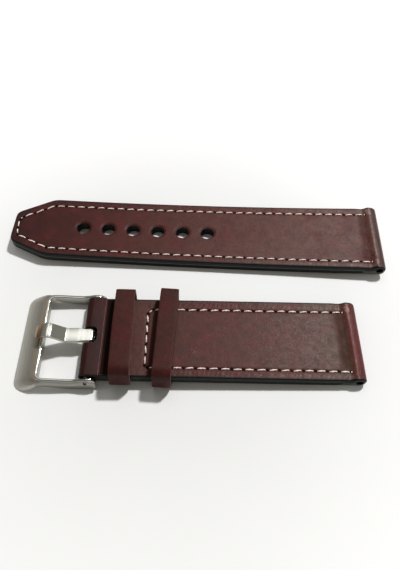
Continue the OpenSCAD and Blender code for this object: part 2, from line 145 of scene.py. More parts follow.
def feed(tree: bpy.types.NodeTree, node: bpy.types.Node, inputs: Union[dict, Sequence]) -> None:
    """Gives a node's inputs their values and links.

    Args:
        tree: the node tree.
        node: the node to feed.
        inputs: for each input, by name or number or in a row from the first one, a socket that
            feeds it, an sRGB hex colour or a plain value.
    """
    pairs = inputs.items() if isinstance(inputs, dict) else enumerate(inputs)
    for key, value in pairs:
        if isinstance(value, Socket):
            tree.links.new(value, node.inputs[key])
        else:
            node.inputs[key].default_value = linear(value) if isinstance(value, str) else value


def add_node(tree: bpy.types.NodeTree, kind: str, inputs: Union[dict, Sequence] = (),
             output: Union[int, str] = 0, stops: Sequence[tuple[float, str]] = (),
             **settings) -> Optional[Socket]:
    """Adds one shader node.

    Args:
        tree: the material's or world's node tree.
        kind: the node's type, without its "ShaderNode".
        inputs: what its inputs get, as feed takes it.
        output: the output that is wanted.
        stops: a colour ramp's positions and sRGB hex colours, lowest first.
        **settings: the node's own properties.

    Returns:
        The wanted output, or None where the node has none.
    """
    node = tree.nodes.new("ShaderNode" + kind)
    for key, value in settings.items():
        setattr(node, key, value)
    feed(tree, node, inputs)
    if stops:
        elements = node.color_ramp.elements
        while len(elements) < len(stops):
            elements.new(0.5)
        for element, (position, colour) in zip(elements, stops):
            element.position, element.color = position, linear(colour)
    return node.outputs[output] if node.outputs else None


def clouds(tree: bpy.types.NodeTree, coords: Socket, size_mm: float, detail: float = 2.0,
           stretch: tuple[float, float, float] = (1, 1, 1)) -> Socket:
    """Soft noise whose blotches are size_mm across.

    Args:
        tree: the node tree.
        coords: coordinates in metres.
        size_mm: size of the largest blotches.
        detail: octaves of finer noise.
        stretch: how many times longer the blotches are along each axis.

    Returns:
        The noise value.
    """
    scale = tuple(1 / (s * size_mm * MM) for s in stretch)
    mapped = add_node(tree, "Mapping", {"Scale": scale, "Vector": coords})
    return add_node(tree, "TexNoise", {"Scale": 1.0, "Detail": detail, "Roughness": 0.55,
                                       "Vector": mapped})


def patches(tree: bpy.types.NodeTree, coords: Socket, size_mm: float, detail: float,
            window: tuple[float, float], share: tuple[float, float],
            stretch: tuple[float, float, float] = (1, 1, 1)) -> Socket:
    """Patches of noise with a share of something in them.

    Args:
        tree: the node tree.
        coords: coordinates in metres.
        size_mm: size of the largest patches.
        detail: octaves of finer noise.
        window: the noise values between which a patch fades in.
        share: the share outside the patches and inside them.
        stretch: how many times longer the patches are along each axis.

    Returns:
        The share at each point.
    """
    noise = clouds(tree, coords, size_mm, detail, stretch)
    return add_node(tree, "MapRange", (noise, *window, *share))


def new_material(name: str) -> tuple[bpy.types.Material, bpy.types.NodeTree, bpy.types.Node,
                                     Socket]:
    """An empty node material.

    Args:
        name: the material's name.

    Returns:
        The material, its tree, its Principled shader and its Object coordinates.
    """
    material = bpy.data.materials.new(name)
    material.use_nodes = True
    tree = material.node_tree
    return (material, tree, tree.nodes["Principled BSDF"],
            add_node(tree, "TexCoord", output="Object"))


# ---- Finishes --------------------------------------------------------------------------------


@dataclass(frozen=True)
class WaxedGrainLeather:
    """Vegetable-tanned, waxed oxblood leather.

    To the eye it is mottled where the wax gathers, satin, darker where pressing sinks it and where
    shade is painted on, paler where it is rubbed and where a highlight is painted on, and it has a
    fine grain.
    """

    name: str
    # Colours by X in millimetres: the dye, with painted sheen where the colours grow lighter and greyer towards
    # the lug ends
    along: tuple[tuple[float, str], ...]
    red: str = "#5a1a1c"
    dark: str = "#2a1510"
    worn_and_highlight: str = "#a5877c"
    pit_and_shade: str = "#1c0505"
    roughness: float = 0.42
    specular: float = 0.2
    mottle: float = 0.6
    # Real pores are about 0.2 mm apart, drawn at 0.4 mm so that they show
    grain_mm: float = 0.4
    grain_depth: float = 0.016
    pebble_depth: float = 0.03
    swell_depth: float = 0.03
    # How much duller the leather is where pressing and painted shade darken it
    pressed_dull: float = 0.6

    def dye(self, tree: bpy.types.NodeTree, coords: Socket, pressed: Socket) -> Socket:
        """The colour: the dye along the strap with painted sheen, its mottle, and rubbing, pressing,
        painted shade and painted highlight on top.

        Args:
            tree: the material's node tree.
            coords: the Object coordinates.
            pressed: how dark each point is made, by pressing and by painted shade.

        Returns:
            The colour output.
        """
        x = add_node(tree, "SeparateXYZ", (coords,))
        place = add_node(tree, "MapRange", (x, -HALF_SPAN * MM, HALF_SPAN * MM))
        drift = patches(tree, coords, 11, 3, (0, 1), (-0.05, 0.05))
        shifted = add_node(tree, "Math", (drift, place), operation="ADD")
        base = add_node(tree, "ValToRGB", (shifted,), stops=[
            ((x + HALF_SPAN) / (2 * HALF_SPAN), colour) for x, colour in self.along])
        worn_and_highlight = add_node(tree, "Attribute", output="Fac", attribute_name="worn_and_highlight")
        patchy = add_node(tree, "Math", (worn_and_highlight, clouds(tree, coords, 0.7, 4)),
                          operation="MULTIPLY")
        for share, colour in (
                (patches(tree, coords, 6, 4, (0.48, 0.66), (0, self.mottle)), self.red),
                (patches(tree, coords, 2.6, 4, (0.35, 0.7), (0, 0.45)), self.dark),
                (patches(tree, coords, 0.7, 3, (0.45, 0.75), (0, 0.55)), self.dark),
                (add_node(tree, "MapRange", (patchy, 0.25, 0.65, 0, 0.7)), self.worn_and_highlight),
                (add_node(tree, "MapRange", (pressed, 0.15, 0.9, 0, 0.9)), self.pit_and_shade)):
            base = add_node(tree, "Mix", {0: share, 6: base, 7: colour}, 2, data_type="RGBA")
        return base

    def grain(self, tree: bpy.types.NodeTree, coords: Socket) -> Socket:
        """The normals: soft swells, pebbles on them and pores on those."""
        cells = add_node(tree, "TexVoronoi", {"Scale": 1 / (self.grain_mm * MM),
                                              "Vector": coords}, feature="DISTANCE_TO_EDGE")
        pores = add_node(tree, "MapRange", (cells, 0.0, 0.12))
        normal = None
        for height, depth in ((clouds(tree, coords, 5, 3), self.swell_depth),
                              (clouds(tree, coords, 1.0, 3), self.pebble_depth),
                              (pores, self.grain_depth)):
            under = {"Normal": normal} if normal else {}
            normal = add_node(tree, "Bump", {"Strength": 1.0, "Distance": depth * MM,
                                             "Height": height, **under})
        return normal

    def build(self) -> bpy.types.Material:
        """The leather."""
        material, tree, shader, coords = new_material(self.name)
        pressed = add_node(tree, "Attribute", output="Fac", attribute_name="pressed")
        satin = patches(tree, coords, 1.8, 4, (0.3, 0.75),
                        (self.roughness - 0.05, self.roughness + 0.08))
        rough = add_node(tree, "Math", (pressed, self.pressed_dull, satin),
                         operation="MULTIPLY_ADD")
        feed(tree, shader, {"Base Color": self.dye(tree, coords, pressed),
                            "Normal": self.grain(tree, coords), "Roughness": rough,
                            "Specular IOR Level": self.specular})
        return material


@dataclass(frozen=True)
class TwoToneFinish:
    """A plain surface with patches of a second colour and a fine unevenness."""

    name: str
    colour: str
    patch_colour: str
    roughness: float
    patch_mm: float
    patch_window: tuple[float, float]
    rough_mm: float
    rough_depth: float
    patch_share: float = 1.0
    patch_detail: float = 4
    patch_stretch: tuple[float, float, float] = (1, 1, 1)
    rough_detail: float = 3
    rough_stretch: tuple[float, float, float] = (1, 1, 1)
    specular: float = 0.5

    def build(self) -> bpy.types.Material:
        """The finish."""
        material, tree, shader, coords = new_material(self.name)
        share = patches(tree, coords, self.patch_mm, self.patch_detail, self.patch_window,
                        (0, self.patch_share), self.patch_stretch)
        uneven = clouds(tree, coords, self.rough_mm, self.rough_detail, self.rough_stretch)
        feed(tree, shader, {
            "Base Color": add_node(tree, "Mix", {0: share, 6: self.colour, 7: self.patch_colour},
                                   2, data_type="RGBA"),
            "Normal": add_node(tree, "Bump", {"Strength": 1.0, "Height": uneven,
                                              "Distance": self.rough_depth * MM}),
            "Roughness": self.roughness, "Specular IOR Level": self.specular})
        return material


@dataclass(frozen=True)
class LiningLeather(TwoToneFinish):
    """Smooth chrome-tanned lining: plain dark brown and matt, with a faint mottle."""

    name: str = "lining_leather"
    colour: str = "#33201c"
    patch_colour: str = "#1d1210"
    roughness: float = 0.62
    patch_mm: float = 4
    patch_window: tuple[float, float] = (0.35, 0.7)
    patch_share: float = 0.6
    rough_mm: float = 0.35
    rough_depth: float = 0.03


@dataclass(frozen=True)
class PaintedEdge(TwoToneFinish):
    """Edge paint over cut leather: nearly black with a green cast, satin, with long streaks."""

    name: str = "painted_edge_joint_highlight"
    # These lighter colours, on the band by the glued joint, are a painted highlight
    colour: str = "#4b5149"
    patch_colour: str = "#6a7067"
    roughness: float = 0.5
    patch_mm: float = 0.5
    patch_window: tuple[float, float] = (0.4, 0.8)
    patch_share: float = 0.6
    patch_detail: float = 3
    patch_stretch: tuple[float, float, float] = (6, 6, 1)
    rough_mm: float = 0.6
    rough_depth: float = 0.06
    rough_stretch: tuple[float, float, float] = (4, 4, 1)
    specular: float = 0.22


@dataclass(frozen=True)
class RawEdge(TwoToneFinish):
    """A cut leather edge without paint: greyish pink fibres, quite matt."""

    name: str = "raw_cut_edge"
    colour: str = "#8c6c66"
    patch_colour: str = "#4c302e"
    roughness: float = 0.8
    patch_mm: float = 0.4
    patch_window: tuple[float, float] = (0.35, 0.7)
    rough_mm: float = 0.2
    rough_depth: float = 0.05
    rough_detail: float = 4


@dataclass(frozen=True)
class WaxedThread(TwoToneFinish):
    """Twisted polyester thread, waxed: warm cream, with pinkish dirt in its twist."""

    name: str = "waxed_thread"
    colour: str = "#f1e3dd"
    patch_colour: str = "#b48a84"
    roughness: float = 0.55
    patch_mm: float = 2.2
    patch_window: tuple[float, float] = (0.5, 0.8)
    patch_share: float = 0.75
    rough_mm: float = 0.25
    rough_depth: float = 0.05


@dataclass(frozen=True)
class BrushedSteel:
    """Stainless steel brushed along one axis: grey, with fine lines, brown where tarnished and where a reflection
    of the leather is painted.
    """

    name: str
    # How many times longer the brush lines are along each axis
    along: tuple[float, float, float]
    colour: str = "#bfbdb3"
    line_colour: str = "#8e8e89"
    roughness: float = 0.42
    tarnish_and_reflection: str = "#7b6350"
    tarnish_and_reflection_dull: float = 0.3
    # Real brush lines are a few hundredths of a millimetre wide, drawn wider so that they show
    line_mm: float = 0.12
    depth: float = 0.006

    def build(self) -> bpy.types.Material:
        """The steel, with its brush lines in colour, roughness and bump."""
        material, tree, shader, coords = new_material(self.name)
        lines = clouds(tree, coords, self.line_mm, 2, self.along)
        tarnish_and_reflection = add_node(tree, "Attribute", output="Fac", attribute_name="tarnish_and_reflection")
        dark = add_node(tree, "MapRange", (lines, 0.3, 0.7, 0, 0.25))
        base = add_node(tree, "Mix", {0: dark, 6: self.colour, 7: self.line_colour}, 2,
                        data_type="RGBA")
        both = add_node(tree, "Math", (clouds(tree, coords, 3), 0.5, lines),
                        operation="MULTIPLY_ADD")
        satin = add_node(tree, "MapRange", (both, 0.4, 1.1, self.roughness - 0.06,
                                            self.roughness + 0.08))
        feed(tree, shader, {
            "Base Color": add_node(tree, "Mix", {0: tarnish_and_reflection, 6: base, 7: self.tarnish_and_reflection}, 2,
                                   data_type="RGBA"),
            "Roughness": add_node(tree, "Math", (tarnish_and_reflection, self.tarnish_and_reflection_dull, satin),
                                  operation="MULTIPLY_ADD"),
            "Normal": add_node(tree, "Bump", {"Strength": 1.0, "Height": lines,
                                              "Distance": self.depth * MM}),
            "Metallic": 1.0})
        return material


@dataclass(frozen=True)
class PolishedSteel:
    """Polished stainless steel: bright, a little cloudy from handling, with faint hairlines."""

    name: str = "polished_steel"
    colour: str = "#bebdb7"
    roughness: float = 0.15
    tarnish_and_reflection: str = "#bebdb7"

    def build(self) -> bpy.types.Material:
        """The steel."""
        material, tree, shader, coords = new_material(self.name)
        tarnish_and_reflection = add_node(tree, "Attribute", output="Fac", attribute_name="tarnish_and_reflection")
        feed(tree, shader, {
            "Base Color": add_node(tree, "Mix", {0: tarnish_and_reflection, 6: self.colour, 7: self.tarnish_and_reflection}, 2,
                                   data_type="RGBA"),
            "Roughness": patches(tree, coords, 4, 3, (0.35, 0.75),
                                 (self.roughness - 0.02, self.roughness + 0.03)),
            "Normal": add_node(tree, "Bump", {"Strength": 1.0, "Distance": 0.0005 * MM,
                                              "Height": clouds(tree, coords, 0.3, 3)}),
            "Metallic": 1.0})
        return material


def evenly(colour: str) -> tuple[tuple[float, str], ...]:
    """A leather's dye that is the same all along."""
    return (-HALF_SPAN, colour), (HALF_SPAN, colour)


class Finishes:
    """Every finish on the strap, built once."""

    def __init__(self) -> None:
        """Builds the leathers, the edges, the thread and the steels."""
        # The tail grows lighter and greyer to the right: painted sheen where the lamp's reflection falls, over the
        # dye's own variation
        self.tail = WaxedGrainLeather("waxed_tail_leather", along=(
            (-60, "#340d09"), (-51, "#380f0b"), (-38, "#46150f"), (-21, "#4e2018"),
            (15, "#5e352e"), (36, "#69433b"), (48, "#6a463f"))).build()
        # The short half grows greyer towards its lug end: painted sheen over the dye
        self.half = WaxedGrainLeather("waxed_buckle_half_leather", pit_and_shade="#0d0303", along=(
            (-60, "#582f26"), (-18, "#582f26"), (-3, "#4f2017"), (13, "#542016"),
            (29, "#5a2f24"), (39, "#5c3f33"))).build()
        self.fold = WaxedGrainLeather("rolled_fold_leather", evenly("#672d2a"), red="#6e2424",
                                      roughness=0.38, pebble_depth=0.06).build()
        self.tail_fold = WaxedGrainLeather(
            "rolled_tail_fold_leather", evenly("#4a2a20"), red="#4c1b1a", roughness=0.38,
            specular=0.32, mottle=0.45, pebble_depth=0.09).build()
        self.keeper = WaxedGrainLeather("waxed_keeper_leather", evenly("#46231e"), red="#54171c",
                                        roughness=0.48, specular=0.1, mottle=0.45).build()
        self.loop = WaxedGrainLeather("waxed_loop_leather", evenly("#30120f"), red="#451416",
                                      roughness=0.4, specular=0.13, pebble_depth=0.07).build()
        self.lining = LiningLeather().build()
        self.rim = PaintedEdge("painted_rim", "#080a08", "#10120f").build()
        # The lighter edge paint by the glued joint is a painted highlight
        self.edge = PaintedEdge().build()
        self.lining_edge = PaintedEdge("painted_lining_edge", "#0b0d0b", "#151814").build()
        self.raw = RawEdge().build()
        self.thread = WaxedThread().build()
        self.bar_steel = BrushedSteel("brushed_bar_steel", (1, 40, 1), roughness=0.46).build()
        # The arms are the bar's steel made darker: painted shade
        self.darker_arm_steel = BrushedSteel("brushed_arm_steel_painted_shade", (40, 1, 1), "#a2a199").build()
        self.tongue_steel = BrushedSteel("brushed_tongue_steel", (1, 40, 1), "#d2d0c8",
                                         roughness=0.32, line_mm=0.08, depth=0.035).build()
        # The brown on the tongue's tip is a painted reflection of the leather
        self.tongue_top = PolishedSteel("polished_tongue_steel", "#dbdad3",
                                        tarnish_and_reflection="#967655").build()
        self.polished = PolishedSteel().build()
        self.pin_steel = BrushedSteel("drawn_pin_steel", (1, 20, 1), "#b9b9b5",
                                      roughness=0.32).build()


# ---- Mesh work -------------------------------------------------------------------------------


def deselect() -> None:
    """Leaves edit mode and deselects every object."""
    if bpy.context.object and bpy.context.object.mode != "OBJECT":
        bpy.ops.object.mode_set(mode="OBJECT")
    bpy.ops.object.select_all(action="DESELECT")


def take(piece: bpy.types.Object) -> None:
    """Makes piece the only selected and the active object."""
    deselect()
    piece.select_set(True)
    bpy.context.view_layer.objects.active = piece


def vectors(items: bpy.types.bpy_prop_collection, key: str) -> np.ndarray:
    """A vector property of every point or face of a mesh, one in each row."""
    values = np.empty(len(items) * 3, np.float32)
    items.foreach_get(key, values)
    return values.reshape(-1, 3)


def add_mask(mesh: bpy.types.Mesh, key: str, values: np.ndarray) -> None:
    """Gives a mesh a point attribute of those values."""
    layer = mesh.attributes.new(key, "FLOAT", "POINT")
    layer.data.foreach_set("value", values.astype(np.float32))


def lattice(name: str, points: np.ndarray, masks: Masks = None) -> bpy.types.Object:
    """A grid primitive whose corners are moved to points.

    Args:
        name: the object's name.
        points: rows by columns by 3, in millimetres.
        masks: values for point attributes, rows by columns each.

    Returns:
        The grid, whose faces know their column and row in the attributes "ring" and "run".
    """
    rows, columns = points.shape[:2]
    deselect()
    bpy.ops.mesh.primitive_grid_add(x_subdivisions=columns - 1, y_subdivisions=rows - 1, size=2)
    piece = bpy.context.object
    piece.name = piece.data.name = name
    mesh = piece.data
    flat = vectors(mesh.vertices, "co")
    i = np.rint((flat[:, 0] + 1) / 2 * (columns - 1)).astype(int)
    j = np.rint((flat[:, 1] + 1) / 2 * (rows - 1)).astype(int)
    mesh.vertices.foreach_set("co", points[j, i].astype(np.float32).ravel())
    for key, values in (masks or {}).items():
        add_mask(mesh, key, values[j, i])
    corners = np.empty(len(mesh.loops), np.int32)
    mesh.loops.foreach_get("vertex_index", corners)
    corners = corners.reshape(-1, 4)
    for key, index in (("ring", i), ("run", j)):
        layer = mesh.attributes.new(key, "INT", "FACE")
        layer.data.foreach_set("value", index[corners].min(axis=1).astype(np.int32))
    mesh.update()
    return piece


def weld(piece: bpy.types.Object, gap: float = 0.0015) -> None:
    """Merges doubled points, fills open ends and points every face outwards.

    Args:
        piece: the mesh to close.
        gap: distance in millimetres within which points merge.
    """
    take(piece)
    bpy.ops.object.mode_set(mode="EDIT")
    bpy.ops.mesh.select_mode(type="VERT")
    bpy.ops.mesh.select_all(action="SELECT")
    bpy.ops.mesh.remove_doubles(threshold=gap)
    bpy.ops.mesh.select_all(action="SELECT")
    bpy.ops.mesh.fill_holes(sides=0)
    bpy.ops.mesh.select_all(action="SELECT")
    bpy.ops.mesh.normals_make_consistent(inside=False)
    bpy.ops.object.mode_set(mode="OBJECT")


def loft(name: str, rings: np.ndarray, masks: Masks = None, closed: bool = False
         ) -> bpy.types.Object:
    """A closed skin through a row of rings.

    Args:
        name: the object's name.
        rings: stations by ring points by 3, in millimetres.
        masks: values for point attributes, stations by ring points each.
        closed: whether the last station joins the first one.

    Returns:
        The welded mesh.
    """
    def wrap(values: np.ndarray) -> np.ndarray:
        values = np.concatenate([values, values[:, :1]], axis=1)
        return np.concatenate([values, values[:1]], axis=0) if closed else values

    piece = lattice(name, wrap(rings), {k: wrap(m) for k, m in (masks or {}).items()})
    weld(piece)
    return piece


def face_values(piece: bpy.types.Object, key: str) -> np.ndarray:
    """A whole-number face attribute as an array."""
    values = np.empty(len(piece.data.polygons), np.int32)
    piece.data.attributes[key].data.foreach_get("value", values)
    return values


def face_places(piece: bpy.types.Object) -> tuple[np.ndarray, np.ndarray]:
    """Centres and normals of a mesh's faces."""
    faces = piece.data.polygons
    return vectors(faces, "center"), vectors(faces, "normal")


def paint(piece: bpy.types.Object, materials: Sequence[bpy.types.Material],
          index: np.ndarray) -> None:
    """Gives each face the material of its index."""
    piece.data.materials.clear()
    for material in materials:
        piece.data.materials.append(material)
    piece.data.polygons.foreach_set("material_index", index.astype(np.int32))


def cut(piece: bpy.types.Object, cutter: bpy.types.Object) -> None:
    """Cuts one mesh out of another and removes the cutter."""
    take(piece)
    modifier = piece.modifiers.new("cut", "BOOLEAN")
    modifier.operation, modifier.solver, modifier.object = "DIFFERENCE", "MANIFOLD", cutter
    bpy.ops.object.modifier_apply(modifier=modifier.name)
    bpy.data.objects.remove(cutter)


def join(pieces: Sequence[bpy.types.Object], name: str) -> bpy.types.Object:
    """Joins several meshes into one of that name."""
    deselect()
    for piece in pieces:
        piece.select_set(True)
    bpy.context.view_layer.objects.active = pieces[0]
    bpy.ops.object.join()
    pieces[0].name = pieces[0].data.name = name
    return pieces[0]


def peg(radius: float, length: float, at: Sequence[float], axis: str = "Z", sides: int = 48
        ) -> bpy.types.Object:
    """A round cutter of that radius and length, centred at a point."""
    deselect()
    turn = (math.pi / 2, 0, 0) if axis == "Y" else (0, 0, 0)
    bpy.ops.mesh.primitive_cylinder_add(vertices=sides, radius=radius, depth=length,
                                        location=at, rotation=turn)
    bpy.ops.object.transform_apply(location=True, rotation=True, scale=True)
    return bpy.context.object


def settle(piece: bpy.types.Object, place: Matrix, body: Body, slot: Slot, *nodes: str,
           angle: float = 40) -> bpy.types.Object:
    """Smooths a finished piece, lays it in the row frame and hands it to its body.

    Args:
        piece: the mesh in local millimetres.
        place: the matrix to the row frame.
        body: the body that it rides on.
        slot: the record's material slot, not used.
        *nodes: CAD nodes that it stands for.
        angle: edges sharper than this stay sharp.

    Returns:
        The same piece.
    """
    for key in ("ring", "run"):
        layer = piece.data.attributes.get(key)
        if layer:
            piece.data.attributes.remove(layer)
    take(piece)
    bpy.ops.object.shade_smooth_by_angle(angle=math.radians(angle))
    piece.data.transform(place)
    piece.data.update()
    piece.matrix_world = Matrix.Identity(4)
    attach(piece, body.value)
    if nodes:
        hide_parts(*nodes)
    log.info("%s: %d faces on %s", piece.name, len(piece.data.polygons), body.value)
    deselect()
    return piece


# ---- Curves and profiles ---------------------------------------------------------------------


def smooth(x: np.ndarray) -> np.ndarray:
    """A soft step from 0 to 1."""
    x = np.clip(x, 0, 1)
    return x * x * (3 - 2 * x)


def bell(x: np.ndarray, width: float) -> np.ndarray:
    """A bell curve that is 1 at 0 and falls to a third at width."""
    return np.exp(-(x / width) ** 2)


def half_round(x: np.ndarray, radius: float) -> np.ndarray:
    """Height of a circle of that radius over its middle's level, 0 outside it."""
    return np.sqrt(np.clip(radius * radius - x ** 2, 0, None))


def arc(start: float, end: float, count: int) -> np.ndarray:
    """Angles from start to end degrees, in radians."""
    return np.radians(np.linspace(start, end, count))


def eased(x: np.ndarray, points: Sequence[tuple[float, float]]) -> np.ndarray:
    """A height at x that eases from point to point.

    Args:
        x: places along the piece.
        points: place and height, lowest place first.

    Returns:
        The heights.
    """
    xs, zs = np.array(points, float).T
    k = np.clip(np.searchsorted(xs, x) - 1, 0, len(xs) - 2)
    return zs[k] + (zs[k + 1] - zs[k]) * smooth((x - xs[k]) / (xs[k + 1] - xs[k]))


def rounded(path: Sequence[Sequence[float]], reach: float, steps: int, closed: bool = False
            ) -> np.ndarray:
    """A path whose corners are rounded over a length on each side.

    Args:
        path: points in a row.
        reach: the length, shortened where two corners are close.
        steps: points per corner, less one.
        closed: whether the path closes on itself.

    Returns:
        The rounded path.
    """
    path = np.array(path, float)
    n = len(path)
    out = [] if closed else [path[0]]
    for k in range(n) if closed else range(1, n - 1):
        a, b, c = path[k - 1], path[k], path[(k + 1) % n]
        la, lc = np.linalg.norm(a - b), np.linalg.norm(c - b)
        d = min(reach, 0.45 * la, 0.45 * lc)
        p, q = b + (a - b) * d / max(la, 1e-9), b + (c - b) * d / max(lc, 1e-9)
        for s in np.linspace(0, 1, steps + 1):
            out.append(p * (1 - s) ** 2 + b * 2 * s * (1 - s) + q * s * s)
    if not closed:
        out.append(path[-1])
    return np.array(out)


def lengths_along(line: np.ndarray) -> np.ndarray:
    """How far along a line each of its points lies."""
    return np.concatenate([[0], np.cumsum(np.linalg.norm(np.diff(line, axis=0), axis=1))])


def resample(line: np.ndarray, step: float) -> np.ndarray:
    """The same line with points about step apart, corners kept."""
    out = [line[0]]
    for a, b in zip(line, line[1:]):
        n = max(1, math.ceil(np.linalg.norm(b - a) / step))
        out += [a + (b - a) * k / n for k in range(1, n + 1)]
    return np.array(out)


def line_inside(a: np.ndarray, b: np.ndarray, c: np.ndarray, inset: float) -> np.ndarray:
    """The point that lies inset inside the corner b of an outline."""
    u, w = (b - a) / np.linalg.norm(b - a), (c - b) / np.linalg.norm(c - b)
    n, m = np.array([-u[1], u[0]]), np.array([-w[1], w[0]])
    return b + (n + m) * inset / (1 + n @ m)


# ---- Stitches --------------------------------------------------------------------------------


@dataclass
class StitchRow:
    """A row of saddle stitches along straight runs."""

    corners: list[np.ndarray]
    pitch: float = 3.2
    gap: float = 0.44
    # The knot stitch past each end: how far past, its half length, its turn's cosine and sine
    knot_past: float = 0.1
    knot_reach: float = 0.35
    knot_turn: tuple[float, float] = (0.5, 0.87)

    def runs(self) -> list[tuple[np.ndarray, np.ndarray, float, int]]:
        """Each straight run's two ends, its length and its number of stitches."""
        found = []
        for a, b in zip(self.corners, self.corners[1:]):
            run = np.linalg.norm(b - a)
            found.append((a, b, run, max(1, round(run / self.pitch))))
        return found

    def stitches(self) -> list[tuple[np.ndarray, np.ndarray]]:
        """Both ends of each stitch, where it dives into its needle holes."""
        found = []
        for a, b, run, count in self.runs():
            u = (b - a) / run
            for k in range(count):
                found.append((a + u * (k * run / count + self.gap),
                              a + u * ((k + 1) * run / count - self.gap)))
        cs, sn = self.knot_turn
        for near, end in (self.corners[1::-1], self.corners[-2:]):
            u = (end - near) / np.linalg.norm(end - near)
            turned = np.array([u[0] * cs - u[1] * sn, u[1] * cs + u[0] * sn]) * self.knot_reach
            middle = end + u * self.knot_past
            found.append((middle - turned, middle + turned))
        return found

    def needle_holes(self) -> list[tuple[np.ndarray, np.ndarray]]:
        """Each needle hole's middle, and the direction of its row there."""
        return [(a + (b - a) * k / count, (b - a) / run)
                for a, b, run, count in self.runs() for k in range(count + 1)]

    def distance(self, u: np.ndarray, v: np.ndarray) -> np.ndarray:
        """Distance from each point to the row."""
        best = np.full(u.shape, NOWHERE)
        for a, b, run, _ in self.runs():
            d = (b - a) / run
            t = np.clip((u - a[0]) * d[0] + (v - a[1]) * d[1], 0, run)
            best = np.minimum(best, np.hypot(u - a[0] - d[0] * t, v - a[1] - d[1] * t))
        return best


@dataclass
class Stitching:
    """One side's visible thread, laid stitch by stitch along a row."""

    row: StitchRow
    height: float
    up: float = 1.0
    seed: int = 3
    radius: float = 0.2
    # The stitch's width and height for its radius, and how far its two plies bulge
    oval: tuple[float, float] = (1.06, 0.72)
    ply_bulge: float = 0.16
    ply_turns: float = 1.1
    end_taper: float = 0.42
    dive: float = 0.32
    lean: float = 5.0
    lean_spread: float = 4.5
    # A knot stitch is shorter than this, and thinner
    short: float = 1.3
    short_fat: float = 0.6
    sides: int = 8
    steps: int = 9

    def pattern(self) -> bpy.types.Object:
        """One stitch of unit length: two plies twisted together, with ends that dive."""
        s = np.linspace(0, 1, self.steps + 1)[:, None]
        a = np.linspace(0, 2 * math.pi, self.sides, endpoint=False)[None]
        twist = s * math.pi * 2 * self.ply_turns
        bow = np.clip(np.sin(np.pi * s), 0, 1)
        taper = self.end_taper + (1 - self.end_taper) * bow ** 0.5
        size = self.radius * (1 + self.ply_bulge * np.cos(2 * (a - twist))) * taper
        y, z = size * np.cos(a) * self.oval[0], size * np.sin(a) * self.oval[1]
        sag = self.dive * (1 - bow ** 0.38)
        return loft("stitch", np.stack([np.repeat(s, self.sides, axis=1), y, z - sag], axis=2))

    def lay(self, name: str) -> bpy.types.Object:
        """All the stitches of the row in one mesh."""
        pattern = self.pattern()
        rng = random.Random(self.seed)
        laid = []
        for a, b in self.row.stitches():
            run = float(np.linalg.norm(b - a))
            turn = math.atan2(b[1] - a[1], b[0] - a[0])
            tilt = math.radians(self.lean + rng.uniform(-self.lean_spread, self.lean_spread))
            fat = rng.uniform(0.9, 1.1) * (self.short_fat if run < self.short else 1)
            mid = Vector(((a[0] + b[0]) / 2, (a[1] + b[1]) / 2 + rng.uniform(-0.05, 0.05),
                          self.height))
            mesh = pattern.data.copy()
            mesh.transform(Matrix.Translation(mid) @ Matrix.Rotation(turn + tilt, 4, "Z")
                           @ Matrix.Diagonal((run, fat, fat * self.up, 1))
                           @ Matrix.Translation((-0.5, 0, 0)))
            if self.up < 0:
                mesh.flip_normals()
            stitch = bpy.data.objects.new("stitch", mesh)
            bpy.context.scene.collection.objects.link(stitch)
            laid.append(stitch)
        bpy.data.objects.remove(pattern)
        return join(laid, name)


# ---- Sheets of leather -----------------------------------------------------------------------


